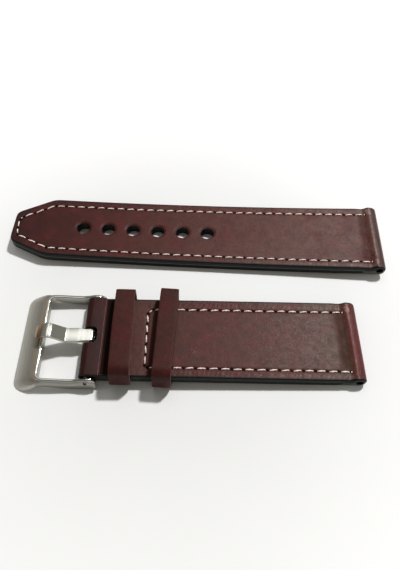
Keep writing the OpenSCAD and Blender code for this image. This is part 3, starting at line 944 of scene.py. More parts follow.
@dataclass
class Relief:
    """What stitching, pressing and rubbing do to the grain side of a half, and the shade and highlight painted on
    it.
    """

    row: StitchRow
    seed: int
    pucker: float
    groove_depth: float = 0.11
    groove_width: float = 0.5
    groove_dark: float = 0.3
    groove_dark_width: float = 0.42
    edge_wear: float = 0.6
    edge_wear_width: float = 0.3
    hole_depth: float = 0.35
    # A needle hole's size along and across its slant, and the size of the painted shade in and round it
    hole_size: tuple[float, float] = (0.36, 0.24)
    hole_shade_size: tuple[float, float] = (0.52, 0.34)
    hole_shade_dark: float = 1.25
    slant: float = 24
    # The valley by the lug fold and the darkening along it: place, width, half length, fade at its ends
    valley: tuple[float, float, float, float] = (4.7, 1.25, 9.8, 2.2)
    valley_depth: float = 0.16
    valley_darkening: tuple[float, float, float, float] = (5.2, 1.5, 10.4, 2.4)
    valley_darkening_share: float = 0.45
    # The painted highlight on the fold's crest, in the pale colour: place, width, strength, where across it begins
    # and is full
    crest: tuple[float, float, float] = (2.7, 0.75, 0.8)
    shine_from: float = -14.0
    shine_over: float = 9.0
    # Painted shade in the band by the seam, for the fixed keeper's shadow, between two places
    seam_shade: tuple[float, float] = (NOWHERE, NOWHERE)
    seam_shade_fade: float = 0.3
    # Painted shade where the free keeper rides, for its cast shadow: its place, half of the darkened width and its
    # turn
    keeper_shade: tuple[float, float, float] = (NOWHERE, 0.0, 0.0)
    keeper_shade_dark: float = 0.5
    keeper_shade_fade: float = 0.7
    # Puckers beside the row: how far from it, their width, and where the edge ends them
    pucker_at: float = 1.4
    pucker_width: float = 0.8
    pucker_end: float = 3.2

    def trough(self, u: np.ndarray, v: np.ndarray,
               form: tuple[float, float, float, float]) -> np.ndarray:
        """A soft trough across the half, 1 along its middle."""
        at, width, reach, fade = form
        return bell(u + at, width) * smooth((reach - np.abs(v)) / fade)

    def press_holes(self, u: np.ndarray, v: np.ndarray, depth: np.ndarray,
                    pressed: np.ndarray) -> None:
        """Sinks the needle holes into depth and paints shade into and round them."""
        cs, sn = math.cos(math.radians(self.slant)), math.sin(math.radians(self.slant))
        rng = random.Random(self.seed)
        for centre, along in self.row.needle_holes():
            near = (np.abs(u - centre[0]) < 2) & (np.abs(v - centre[1]) < 3)
            if not near.any():
                continue
            du, dv = u[near] - centre[0], v[near] - centre[1]
            a, b = du * along[0] + dv * along[1], dv * along[0] - du * along[1]
            a, b = a * cs - b * sn, a * sn + b * cs
            size = rng.uniform(0.9, 1.15)
            hole, hole_shade = [(a / (reach[0] * size)) ** 2 + (b / (reach[1] * size)) ** 2
                          for reach in (self.hole_size, self.hole_shade_size)]
            depth[near] += self.hole_depth * np.exp(-hole ** 1.5)
            pressed[near] = np.maximum(pressed[near], self.hole_shade_dark * np.exp(-hole_shade))

    def sample(self, u: np.ndarray, v: np.ndarray, edge: np.ndarray
               ) -> tuple[np.ndarray, np.ndarray, np.ndarray]:
        """The relief at points of the grain side.

        Args:
            u: places along the half.
            v: places across it.
            edge: distance of each point from the half's edge.

        Returns:
            Depth in millimetres; how dark each point is made by pressing, needle holes and painted shade;
            and how pale it is made by rubbing and painted highlight.
        """
        d = self.row.distance(u, v)
        depth = self.groove_depth * bell(d, self.groove_width)
        depth += self.valley_depth * self.trough(u, v, self.valley)
        pressed = self.groove_dark * bell(d, self.groove_dark_width)
        pressed = np.maximum(pressed, self.valley_darkening_share * self.trough(u, v, self.valley_darkening))
        far, near = self.seam_shade
        pressed = np.maximum(pressed, smooth((u + near) / -self.seam_shade_fade)
                             * (u > self.seam_shade_fade - far))
        at, reach, turn = self.keeper_shade
        off = np.abs((u - at) * math.cos(turn) + v * math.sin(turn))
        pressed = np.maximum(pressed, self.keeper_shade_dark * smooth((reach - off) / self.keeper_shade_fade))
        self.press_holes(u, v, depth, pressed)
        crest_at, width, crest_highlight = self.crest
        shine = crest_highlight * smooth((v - self.shine_from) / self.shine_over)
        worn_and_highlight = np.maximum(self.edge_wear * bell(edge, self.edge_wear_width),
                          shine * bell(u + crest_at, width))
        beside = bell(d - self.pucker_at, self.pucker_width) * (edge < self.pucker_end)
        # Two uneven waves, so that no two puckers are alike
        wave = (np.sin(u * 1.9 + 1.3 * np.sin(u * 0.37) + v) * np.sin(u * 0.53 + 1)
                + 0.5 * np.sin(u * 4.7 + 2.2 * np.sin(u * 0.23 + v * 0.8) - v * 2.1))
        depth += self.pucker * beside * wave
        # The puckers are made paler, less towards the far end
        worn_and_highlight += beside * smooth((u + 52) / 34) * (0.6 + 0.2 * wave)
        return depth, np.clip(pressed, 0, 1), np.clip(worn_and_highlight, 0, 1)


@dataclass
class Slab:
    """A sheet of leather as rings along it: dense grain side, soft edges, plain underside."""

    stations: np.ndarray
    half: Callable[[np.ndarray], np.ndarray]
    top: Callable[[np.ndarray], np.ndarray]
    bottom: Callable[[np.ndarray], np.ndarray]
    width: float = 24
    margin: float = 4.2
    margin_step: float = 0.16
    inner_step: float = 0.28
    top_round: float = 0.4
    bottom_round: float = 0.15
    # How far the first and the last end are rounded
    ends: tuple[float, float] = (0.0, 0.0)
    end_thin: float = 1.5
    # A sheet thinner than this has smaller roundings
    full_thick: float = 1.2

    def ring(self) -> tuple[np.ndarray, ...]:
        """The ring's points: fraction across, distance from the edge, level, height offset."""
        inner = max(2, round((self.width - 2 * self.margin) / self.inner_step))
        near = np.arange(self.top_round, self.margin, self.margin_step)
        rows = [(-1.0, d, 1.0, 0.0) for d in near]
        rows += [(t, self.margin, 1.0, 0.0) for t in np.linspace(-1, 1, inner + 1)]
        rows += [(1.0, d, 1.0, 0.0) for d in near[::-1]]
        r, q = self.top_round, self.bottom_round
        sides = []
        for side in (1.0, -1.0):
            down = [(side, r * (1 - math.sin(a)), 1.0, -r * (1 - math.cos(a)))
                    for a in arc(0, 90, 6)[1:]]
            down += [(side, 0.0, 0.5, 0.0), (side, 0.0, 0.26, 0.0)]
            down += [(side, q * (1 - math.cos(a)), 0.0, q * (1 - math.sin(a)))
                     for a in arc(0, 90, 4)]
            sides.append(down)
        rows += sides[0]
        rows += [(t, self.margin, 0.0, 0.0) for t in np.linspace(1, -1, 9)]
        rows += sides[1][::-1]
        return tuple(np.array(rows).T)

    def skin(self, name: str, relief: Optional[Relief] = None,
             shape: Optional[Callable[[np.ndarray, np.ndarray], np.ndarray]] = None
             ) -> bpy.types.Object:
        """The lofted sheet.

        Args:
            name: the object's name.
            relief: what stitching and pressing do to the grain side, with the shade and highlight painted on it.
            shape: extra depth of the grain side at u and v.

        Returns:
            The mesh in local millimetres.
        """
        t, d, level, dz = self.ring()
        u = self.stations
        inset = np.zeros(len(u))
        for end, r in zip((u[0], u[-1]), self.ends):
            if r:
                near = np.clip(1 - np.abs(u - end) / r, 0, 1)
                inset = np.maximum(inset, r * (1 - np.sqrt(1 - near ** 2)))
        thick = np.maximum(self.top(u) - self.bottom(u) - inset * self.end_thin, 0.0)
        low = self.top(u) - inset - thick
        reach = self.half(u) - inset
        squeeze = np.minimum(1, thick / self.full_thick)[:, None]
        v = t[None] * (reach[:, None] - d[None])
        z = low[:, None] + level[None] * thick[:, None] + dz[None] * squeeze
        uu = np.repeat(u[:, None], len(t), axis=1)
        pressed, worn_and_highlight = np.zeros_like(v), np.zeros_like(v)
        on_top = level[None] * np.clip(1 + dz[None] / self.top_round, 0, 1)
        if relief:
            depth, pressed, worn_and_highlight = relief.sample(uu, v, reach[:, None] - np.abs(v))
            z = z - depth * on_top * squeeze
            pressed, worn_and_highlight = pressed * on_top, worn_and_highlight * (level[None] > 0.9)
        if shape:
            z = z - shape(uu, v) * on_top
        return loft(name, np.stack([uu, v, z], axis=2), {"pressed": pressed, "worn_and_highlight": worn_and_highlight})


@dataclass
class StrapSizes:
    """What both halves share."""

    width: float = 24
    top: float = 1.7
    lining: float = 1.5
    lug_r: float = 1.9
    lug_bore: float = 1.0
    lining_start: float = 6.5
    crest_at: float = 2.7
    valley_at: float = 4.7
    valley_start: float = 7.2
    valley_drop: float = 0.18
    margin: float = 2.8
    stitch_start: float = 4.2

    @property
    def thick(self) -> float:
        """Both layers together."""
        return self.top + self.lining

    def lug_top(self, u: np.ndarray) -> np.ndarray:
        """Height of the grain side beside and over the lug fold."""
        r, crest = self.lug_r, self.crest_at
        over = np.sqrt(np.clip(1 - ((np.minimum(u, 0) + crest) / crest) ** 2, 0, 1))
        flat = eased(u, [(-999, self.thick), (-self.valley_start, self.thick),
                         (-self.valley_at, self.thick - self.valley_drop), (-crest, 2 * r)])
        return np.where(u > -crest, r * (1 + over), flat)

    def lug_bottom(self, u: np.ndarray) -> np.ndarray:
        """Height of the underside, which drops past the lining and curls up round the fold."""
        r = self.lug_r
        fold = r - half_round(np.minimum(u, 0) + r, r)
        level = np.where(u > -self.lining_start + 0.001, 0.0, self.lining)
        return np.where(u > -r, fold, level)

    def lug_stations(self) -> np.ndarray:
        """Stations from the lining's end round the lug fold, denser where it turns under."""
        level = np.arange(-self.lining_start + 0.15, -self.crest_at - 0.05, 0.14)
        turn = -self.crest_at + self.crest_at * np.cos(arc(90, 2.5, 24))
        return np.concatenate([[-self.lining_start + 0.002], level, turn])


# ---- Strap halves ----------------------------------------------------------------------------


@dataclass
class StrapHalf:
    """What both halves are made of: grain leather, lining and a row of stitches through both."""

    finishes: Finishes
    sizes: StrapSizes = field(default_factory=StrapSizes)
    # How far the sides draw in at the lug end's corners, over how long
    corner_draw: float = 0.8
    corner_reach: float = 1.0
    thread_proud: float = 0.06
    # Underneath the thread lies lower and flatter
    under_height: float = 0.2
    under_flat: float = 0.6

    def drawn_in(self, u: np.ndarray) -> np.ndarray:
        """How far each side draws in at the lug end's corners."""
        soft = np.clip((u + self.corner_reach) / self.corner_reach, 0, 1)
        return self.corner_draw * (1 - np.sqrt(1 - soft ** 2 * 0.96))

    def bore_lug(self, piece: bpy.types.Object) -> None:
        """Bores the tunnel for the watch's spring bar through the lug fold."""
        s = self.sizes
        cut(piece, peg(s.lug_bore, s.width + 4, (-s.lug_r, 0, s.lug_r), "Y", 32))

    def in_bore(self, centres: np.ndarray) -> np.ndarray:
        """Which face centres lie on that tunnel's wall."""
        s = self.sizes
        from_axis = np.hypot(centres[:, 0] + s.lug_r, centres[:, 2] - s.lug_r)
        return (centres[:, 0] > -s.crest_at + 0.1) & (from_axis < s.lug_bore + 0.05)

    def bend(self, piece: bpy.types.Object) -> None:
        """Bends a piece as the half lies: not at all, where it lies flat."""

    def build_threads(self, name: str, body: Body, seed: int) -> None:
        """The thread on both sides.

        Args:
            name: what the half's pieces and nodes begin with.
            body: the half's body.
            seed: for the stitches' small differences.
        """
        for side, height, up in (("top", self.sizes.thick + self.thread_proud, 1.0),
                                 ("lining", self.under_height, -self.under_flat)):
            piece = Stitching(self.row, height, up, seed).lay(f"{name}_{side}_stitches")
            piece.data.materials.append(self.finishes.thread)
            self.bend(piece)
            settle(piece, self.place, body, Slot.THREAD, f"{name}_{side}_thread", angle=70)


@dataclass
class TailHalf(StrapHalf):
    """The half with the adjustment holes."""

    length: float = 115.8
    shoulder: float = 22.2
    tip: float = 11.1
    tip_width: float = 11.1
    tip_shift: float = 0.78
    tip_round: float = 1.9
    hole_r: float = 2.12
    hole_pitch: float = 7.85
    holes: int = 6
    first_hole: float = 54.6
    # The sunken rim round each hole
    rim_depth: float = 0.34
    rim_width: float = 0.36
    # Both ends rise by arch at this distance from the middle
    arch: float = 1.28
    arch_span: float = 60.0
    # Where the row turns at the tip: back run, two corners, front run
    tip_row: tuple[tuple[float, float], ...] = (
        (-113.4, 3.6), (-114.3, 2.4), (-114.3, -0.8), (-113.8, -3.5))
    front_shift: float = 0.35
    # How wide the rim's paint shows on the grain side
    rim_paint: float = 0.52

    def __post_init__(self) -> None:
        """Works out the outline, the row of stitches and the half's place."""
        s = self.sizes
        c = self.corners = [np.array(p, float) for p in (
            (0, s.width / 2), (self.tip - self.length, self.shoulder / 2),
            (-self.length, self.tip_width / 2), (-self.length, -self.tip_width / 2),
            (self.tip - self.length, -self.shoulder / 2), (0, -s.width / 2))]
        self.outline = rounded(c, self.tip_round, 8)
        edge = c[1] - c[0]
        slope = edge[1] / edge[0]
        start = np.array([-s.stitch_start, s.width / 2 - s.stitch_start * slope
                          - s.margin * math.hypot(1, slope)])
        back, front = [line_inside(c[k - 1], c[k], c[k + 1], s.margin) for k in (1, 4)]
        front[1] -= self.front_shift
        self.row = StitchRow([start, back, *(np.array(p) for p in self.tip_row), front,
                              start * np.array([1, -1]) - (0, self.front_shift)])
        self.place = half_place("lug_tunnel_tail", s.lug_r, None)

    def half_width(self, u: np.ndarray) -> np.ndarray:
        """Half of the width at u."""
        back = self.outline[self.outline[:, 1] > 0]
        back = back[np.argsort(back[:, 0])]
        return np.interp(u, back[:, 0], back[:, 1]) - self.drawn_in(u)

    def bend(self, piece: bpy.types.Object) -> None:
        """Arches a piece lengthways, as a much-used half lies, and sets its tip to the front."""
        mesh = piece.data
        points = vectors(mesh.vertices, "co")
        from_middle = (points[:, 0] + self.length / 2) / self.arch_span
        points[:, 2] += self.arch * from_middle ** 2
        to_tip = np.clip(1 - (points[:, 0] + self.length) / self.tip, 0, 1)
        points[:, 1] -= self.tip_shift * to_tip
        mesh.vertices.foreach_set("co", points.ravel())
        mesh.update()

    def hole_places(self) -> list[float]:
        """Where along the half the adjustment holes are."""
        return [-self.first_hole - k * self.hole_pitch for k in range(self.holes)]

    def hole_cutters(self) -> bpy.types.Object:
        """Round cutters for the adjustment holes."""
        return join([peg(self.hole_r, 12, (u, 0, 1.5)) for u in self.hole_places()],
                    "hole_cutters")

    def hole_rims(self, u: np.ndarray, v: np.ndarray) -> np.ndarray:
        """Extra depth of the grain side: soft rims round the holes."""
        best = np.full(u.shape, NOWHERE)
        for centre in self.hole_places():
            best = np.minimum(best, np.abs(np.hypot(u - centre, v) - self.hole_r))
        return self.rim_depth * bell(best, self.rim_width)

    def stations(self, step: float) -> np.ndarray:
        """Evenly spaced stations up to the lug fold, denser where the tip is rounded."""
        start, end = -self.length, -self.sizes.lining_start
        tip = start + 0.35 * (1 - np.sin(arc(90, 0, 5)))
        return np.concatenate([tip, np.arange(start + 0.5, end, step), [end]])

    def dress(self, piece: bpy.types.Object, face: bpy.types.Material,
              side: bpy.types.Material) -> None:
        """Leather on the faces, paint on the cut edges and in the holes, black paint in the lug tunnel as painted
        shade, and the rolled fold.

        Args:
            piece: the leather, not yet arched.
            face: the leather's finish.
            side: the lighter paint along the glued joint, a painted highlight.
        """
        s = self.sizes
        centres, normals = face_places(piece)
        x, y, z = centres.T
        across, up = np.abs(normals[:, 1]), np.abs(normals[:, 2])
        outside = self.half_width(x) - np.abs(y) < self.rim_paint
        level = up > np.where(outside, 1.1, 0.55)
        edge = np.where(x > -s.crest_at + 0.1,
                        (across > 0.6) & ~level & (np.abs(y) > 10.9), ~level)
        rolled = x > -s.crest_at - 0.5
        # The band by the glued joint gets the lighter paint: a painted highlight
        glued = outside & (up < 0.4) & (z < s.lining + 0.45)
        # The lug tunnel's wall gets the black rim paint: painted shade
        index = np.select([self.in_bore(centres), edge & glued, edge, rolled], [3, 1, 3, 2], 0)
        paint(piece, [face, side, self.finishes.tail_fold, self.finishes.rim], index)

    def build_grain(self) -> bpy.types.Object:
        """The grain leather with its holes, groove, needle holes and lug fold."""
        s = self.sizes
        slab = Slab(np.concatenate([self.stations(0.2), s.lug_stations()]), self.half_width,
                    s.lug_top, s.lug_bottom, inner_step=0.25, ends=(0.35, 0))
        piece = slab.skin("tail_grain_leather", Relief(self.row, seed=5, pucker=0.03),
                          self.hole_rims)
        cut(piece, self.hole_cutters())
        self.bore_lug(piece)
        self.dress(piece, self.finishes.tail, self.finishes.edge)
        self.bend(piece)
        return settle(piece, self.place, Body.TAIL_HALF, Slot.GRAIN, "tail_top_leather")

    def build_lining(self) -> bpy.types.Object:
        """The lining leather under it."""
        slab = Slab(self.stations(0.8), self.half_width,
                    lambda u: np.full_like(u, self.sizes.lining), np.zeros_like,
                    margin=3, margin_step=0.9, inner_step=2.0, top_round=0.22,
                    bottom_round=0.3, ends=(0.3, 0.1))
        piece = slab.skin("tail_lining_leather")
        cut(piece, self.hole_cutters())
        self.dress(piece, self.finishes.lining, self.finishes.lining_edge)
        self.bend(piece)
        return settle(piece, self.place, Body.TAIL_HALF, Slot.LINING, "tail_lining")

    def build(self) -> None:
        """Builds the whole half."""
        self.build_grain()
        self.build_lining()
        self.build_threads("tail", Body.TAIL_HALF, seed=3)


@dataclass
class BuckleHalf(StrapHalf):
    """The half that carries the buckle, whose lining makes a loop round the spring bar."""

    length: float = 77.0
    # Where the grain leather ends, and how far the loop stands over it there
    seam: float = 71.6
    seam_step: float = -0.35
    lug_flare: float = 0.1
    loop_r: float = 1.95
    loop_bore: float = 0.9
    slot_width: float = 4.8
    slot_reach: float = 1.92
    slot_corner: float = 1.5
    cross_at: float = 59.6
    cross_corner: float = 1.4
    back_shift: float = 0.55
    # Painted shade in the band between the seam and the fixed keeper, and beside the free keeper, for the keepers'
    # cast shadows
    seam_shade_end: float = 68.4
    keeper_shade_at: float = -54.9
    keeper_shade_half: float = 3.55
    keeper_shade_turn: float = -3.1
    edge_paint: float = 0.5

    def __post_init__(self) -> None:
        """Works out the row of stitches and the half's place."""
        s = self.sizes
        front, turn = s.width / 2 - s.margin, self.cross_corner
        back = front - self.back_shift
        self.row = StitchRow([np.array(p, float) for p in (
            (-s.stitch_start, back + 0.2), (turn - self.cross_at, back),
            (-self.cross_at, back - turn), (-self.cross_at, 0.5 - front),
            (0.7 - self.cross_at, -front), (-s.stitch_start, -front - 0.25))])
        self.place = half_place("lug_tunnel_buckle_half", s.lug_r,
                                Vector(joint("keeper_slide")["axis"]).normalized())

    def half_width(self, u: np.ndarray) -> np.ndarray:
        """Half of the width at u, a little wider to the lug end."""
        flare = self.lug_flare * smooth((u + 60) / 50)
        return self.sizes.width / 2 + flare - self.drawn_in(u)

    def build_grain(self) -> bpy.types.Object:
        """The grain leather with its groove, needle holes, puckers and lug fold."""
        s = self.sizes
        stations = np.concatenate([
            [-self.seam, -self.seam + 0.05, -self.seam + 0.12],
            np.arange(-self.seam + 0.2, -s.lining_start, 0.2), [-s.lining_start],
            s.lug_stations()])
        slab = Slab(stations, self.half_width, s.lug_top, s.lug_bottom, bottom_round=0.35,
                    ends=(0.14, 0))
        piece = slab.skin("buckle_half_grain_leather", Relief(
            self.row, seed=9, pucker=0.035, shine_from=-1.0,
            seam_shade=(self.seam, self.seam_shade_end),
            keeper_shade=(self.keeper_shade_at, self.keeper_shade_half, math.radians(self.keeper_shade_turn))))
        self.bore_lug(piece)
        centres, normals = face_places(piece)
        x, y, z = centres.T
        across, up = np.abs(normals[:, 1]), np.abs(normals[:, 2])
        sides = ((self.half_width(x) - np.abs(y) < self.edge_paint)
                 | ((across > 0.6) & (up <= 0.55) & (np.abs(y) > 10.9)))
        # The band by the glued joint gets the lighter paint: a painted highlight
        glued = (up < 0.4) & (z < s.lining + 0.45)
        rolled = x > -s.crest_at - 0.7
        # The lug tunnel's wall gets the black rim paint: painted shade
        index = np.select([self.in_bore(centres), sides & glued, sides, rolled],
                          [3, 1, 3, 2], 0)
        paint(piece, [self.finishes.half, self.finishes.edge, self.finishes.fold,
                      self.finishes.rim], index)
        return settle(piece, self.place, Body.BUCKLE_HALF, Slot.GRAIN,
                      "buckle_half_top_leather")

    def loop_top(self, u: np.ndarray) -> np.ndarray:
        """Height of the lining's upper side, which rises over the spring bar."""
        s, r, x = self.sizes, self.loop_r, self.loop_r - self.length
        t = np.clip((u - x) / (-self.seam - x), 0, 1)
        rise = 2 * r - (2 * r - s.thick + self.seam_step) * t ** 1.35
        over = np.where(u > -self.seam + 0.001, s.lining, rise)
        return np.where(u < x, r + half_round(u - x, r), over)

    def loop_bottom(self, u: np.ndarray) -> np.ndarray:
        """Height of the lining's underside, which curls up round the spring bar."""
        r, x = self.loop_r, self.loop_r - self.length
        return np.where(u < x, r - half_round(u - x, r), 0.0)

    def slot_cutter(self) -> bpy.types.Object:
        """The slot for the tongue: straight sides and rounded corners at its end."""
        h = self.slot_width / 2
        start, end = -self.length - 2, self.loop_r - self.length + self.slot_reach
        path = rounded([(start, -h), (end, -h), (end, h), (start, h)], self.slot_corner, 8)
        return loft("slot_cutter", np.array([
            np.column_stack([path, np.full(len(path), z)]) for z in (-3.0, 8.0)]))

    def build_lining(self) -> bpy.types.Object:
        """The lining, and the loop that it makes round the buckle's spring bar."""
        s, r, start = self.sizes, self.loop_r, self.loop_r - self.length
        stations = np.concatenate([
            start - r * np.cos(arc(3, 90, 18)),
            np.arange(start + 0.2, -self.seam - 0.2, 0.25),
            [-self.seam - 0.12, -self.seam, -self.seam + 0.002],
            np.arange(-self.seam + 1, -s.lining_start - 0.5, 1.6), [-s.lining_start]])
        slab = Slab(stations, self.half_width, self.loop_top, self.loop_bottom, margin=3,
                    margin_step=0.5, inner_step=0.8, top_round=0.3, bottom_round=0.3,
                    ends=(0, 0.1))
        piece = slab.skin("buckle_half_lining_leather")
        cut(piece, self.slot_cutter())
        cut(piece, peg(self.loop_bore, s.width + 4, (start, 0, r), "Y", 32))
        centres, normals = face_places(piece)
        x, y, z = centres.T
        across, up = np.abs(normals[:, 1]), np.abs(normals[:, 2])
        sides = (across > 0.6) & (np.abs(y) > 11.6)
        slot = ((np.abs(y) < self.slot_width / 2 + 0.05) & (up < 0.5)
                & (across + (x > start) > 0.6))
        brink = (np.abs(x + self.seam) < 0.09) & (z > s.thick - 0.3)
        shown = (x < -self.seam + 0.1) & (z > 0.3)
        index = np.select([sides | slot, brink, shown], [1, 3, 2], 0)
        paint(piece, [self.finishes.lining, self.finishes.lining_edge, self.finishes.loop,
                      self.finishes.raw], index)
        return settle(piece, self.place, Body.BUCKLE_HALF, Slot.LINING, "buckle_half_lining")

    def build(self) -> None:
        """Builds the whole half."""
        self.build_grain()
        self.build_lining()
        self.build_threads("buckle_half", Body.BUCKLE_HALF, seed=11)


# ---- Keepers ---------------------------------------------------------------------------------


def strip_section(width: float, thick: float, soften: float) -> np.ndarray:
    """A strip's cross section, with softened corners."""
    w, t = width / 2, thick / 2
    return rounded([(-w, -t), (w, -t), (w, t), (-w, t)], soften, 3, closed=True)


@dataclass
class Keeper:
    """A leather band round the strap, as rings along its way round."""

    finishes: Finishes
    name: str
    node: str
    body: Body
    at: float
    width: float
    side: float
    under: float
    seed: int
    yaw: float = 0.0
    # Whether both ends are trapped between the strap's layers, thinner
    tucked: bool = False
    tuck: float = 2.2
    tuck_height: float = 0.28
    tuck_thin: float = 0.6
    thick: float = 0.9
    gap: float = 4.0
    crown: float = 0.16
    # The band's roof lies above this height
    roof_from: float = 5.5
    soften: float = 0.22
    sizes: StrapSizes = field(default_factory=StrapSizes)

    def path(self) -> np.ndarray:
        """The band's middle line, as v and z, from the front foot over to the back foot."""
        inside = self.sizes.width / 2 + self.side + self.thick / 2
        roof = self.sizes.thick + self.gap + self.thick / 2
        over = [(-inside - 0.4, 5.0), (-inside, roof - 0.8), (-inside + 1.3, roof),
                (inside, roof)]
        if self.tucked:
            foot = self.sizes.lining + self.tuck_height
            line = [(-inside + self.tuck, foot), (-inside + 0.6, foot), (-inside - 0.45, 0.75),
                    (-inside - 0.75, 2.0), *over, (inside, foot), (inside - self.tuck, foot)]
        else:
            floor = -self.under - self.thick / 2
            line = [(0, floor), (-inside + 0.3, floor), (-inside - 0.6, 1.2), *over,
                    (inside, floor), (0.01, floor)]
        return resample(rounded(line, 1.5, 9), 0.45)

    def section(self) -> np.ndarray:
        """The band's cross section, with a few more points across its outside."""
        corners = strip_section(self.width, self.thick, self.soften)
        across = np.linspace(0.7, -0.7, 6) * self.width / 2
        extra = np.column_stack([across, np.full(6, self.thick / 2)])
        return np.concatenate([corners[:12], extra, corners[12:]])

    def build(self, place: Matrix) -> bpy.types.Object:
        """The band.

        Args:
            place: where the buckle half lies.

        Returns:
            The finished keeper.
        """
        line = self.path() if self.tucked else self.path()[:-1]
        ahead = np.roll(line, -1, axis=0) - np.roll(line, 1, axis=0)
        if self.tucked:
            ahead[0], ahead[-1] = line[1] - line[0], line[-1] - line[-2]
        ahead /= np.linalg.norm(ahead, axis=1)[:, None]
        rng = random.Random(self.seed)
        waves = rng.uniform(-1, 1), rng.uniform(-1, 1)
        x, z = self.section().T
        rings = []
        for k, (p, (along, up)) in enumerate(zip(line, ahead)):
            s = k / len(line) * 2 * math.pi
            swell = 0.02 * (waves[0] * math.sin(2 * s) + waves[1] * math.cos(3 * s))
            trapped = self.tucked and min(k, len(line) - 1 - k) < 3
            out = z * (self.tuck_thin if trapped else 1.0)
            high = p[1] + along * out
            if p[1] > self.roof_from:
                high += self.crown * (1 - (p[0] / (self.sizes.width / 2)) ** 2) * 0.5
                high -= 0.035 * (x / (self.width / 2)) ** 2 * (z > 0)
            rings.append(np.column_stack([x * (1 + swell), p[0] - up * out, high]))
        piece = loft(self.name, np.array(rings), closed=not self.tucked)
        turn = Matrix.Rotation(math.radians(-self.yaw), 4, "Z")
        piece.data.transform(Matrix.Translation((-self.at, 0, 0)) @ turn)
        self.dress(piece)
        return settle(piece, place, self.body, Slot.KEEPER, self.node)

    def dress(self, piece: bpy.types.Object) -> None:
        """Leather on the band and bare fibres on its two cut sides."""
        _, normals = face_places(piece)
        cut_side = np.abs(normals[:, 0]) > 0.75
        paint(piece, [self.finishes.keeper, self.finishes.raw], cut_side.astype(int))
        for key in ("pressed", "worn_and_highlight"):
            add_mask(piece.data, key, np.zeros(len(piece.data.vertices)))


# ---- Buckle ----------------------------------------------------------------------------------


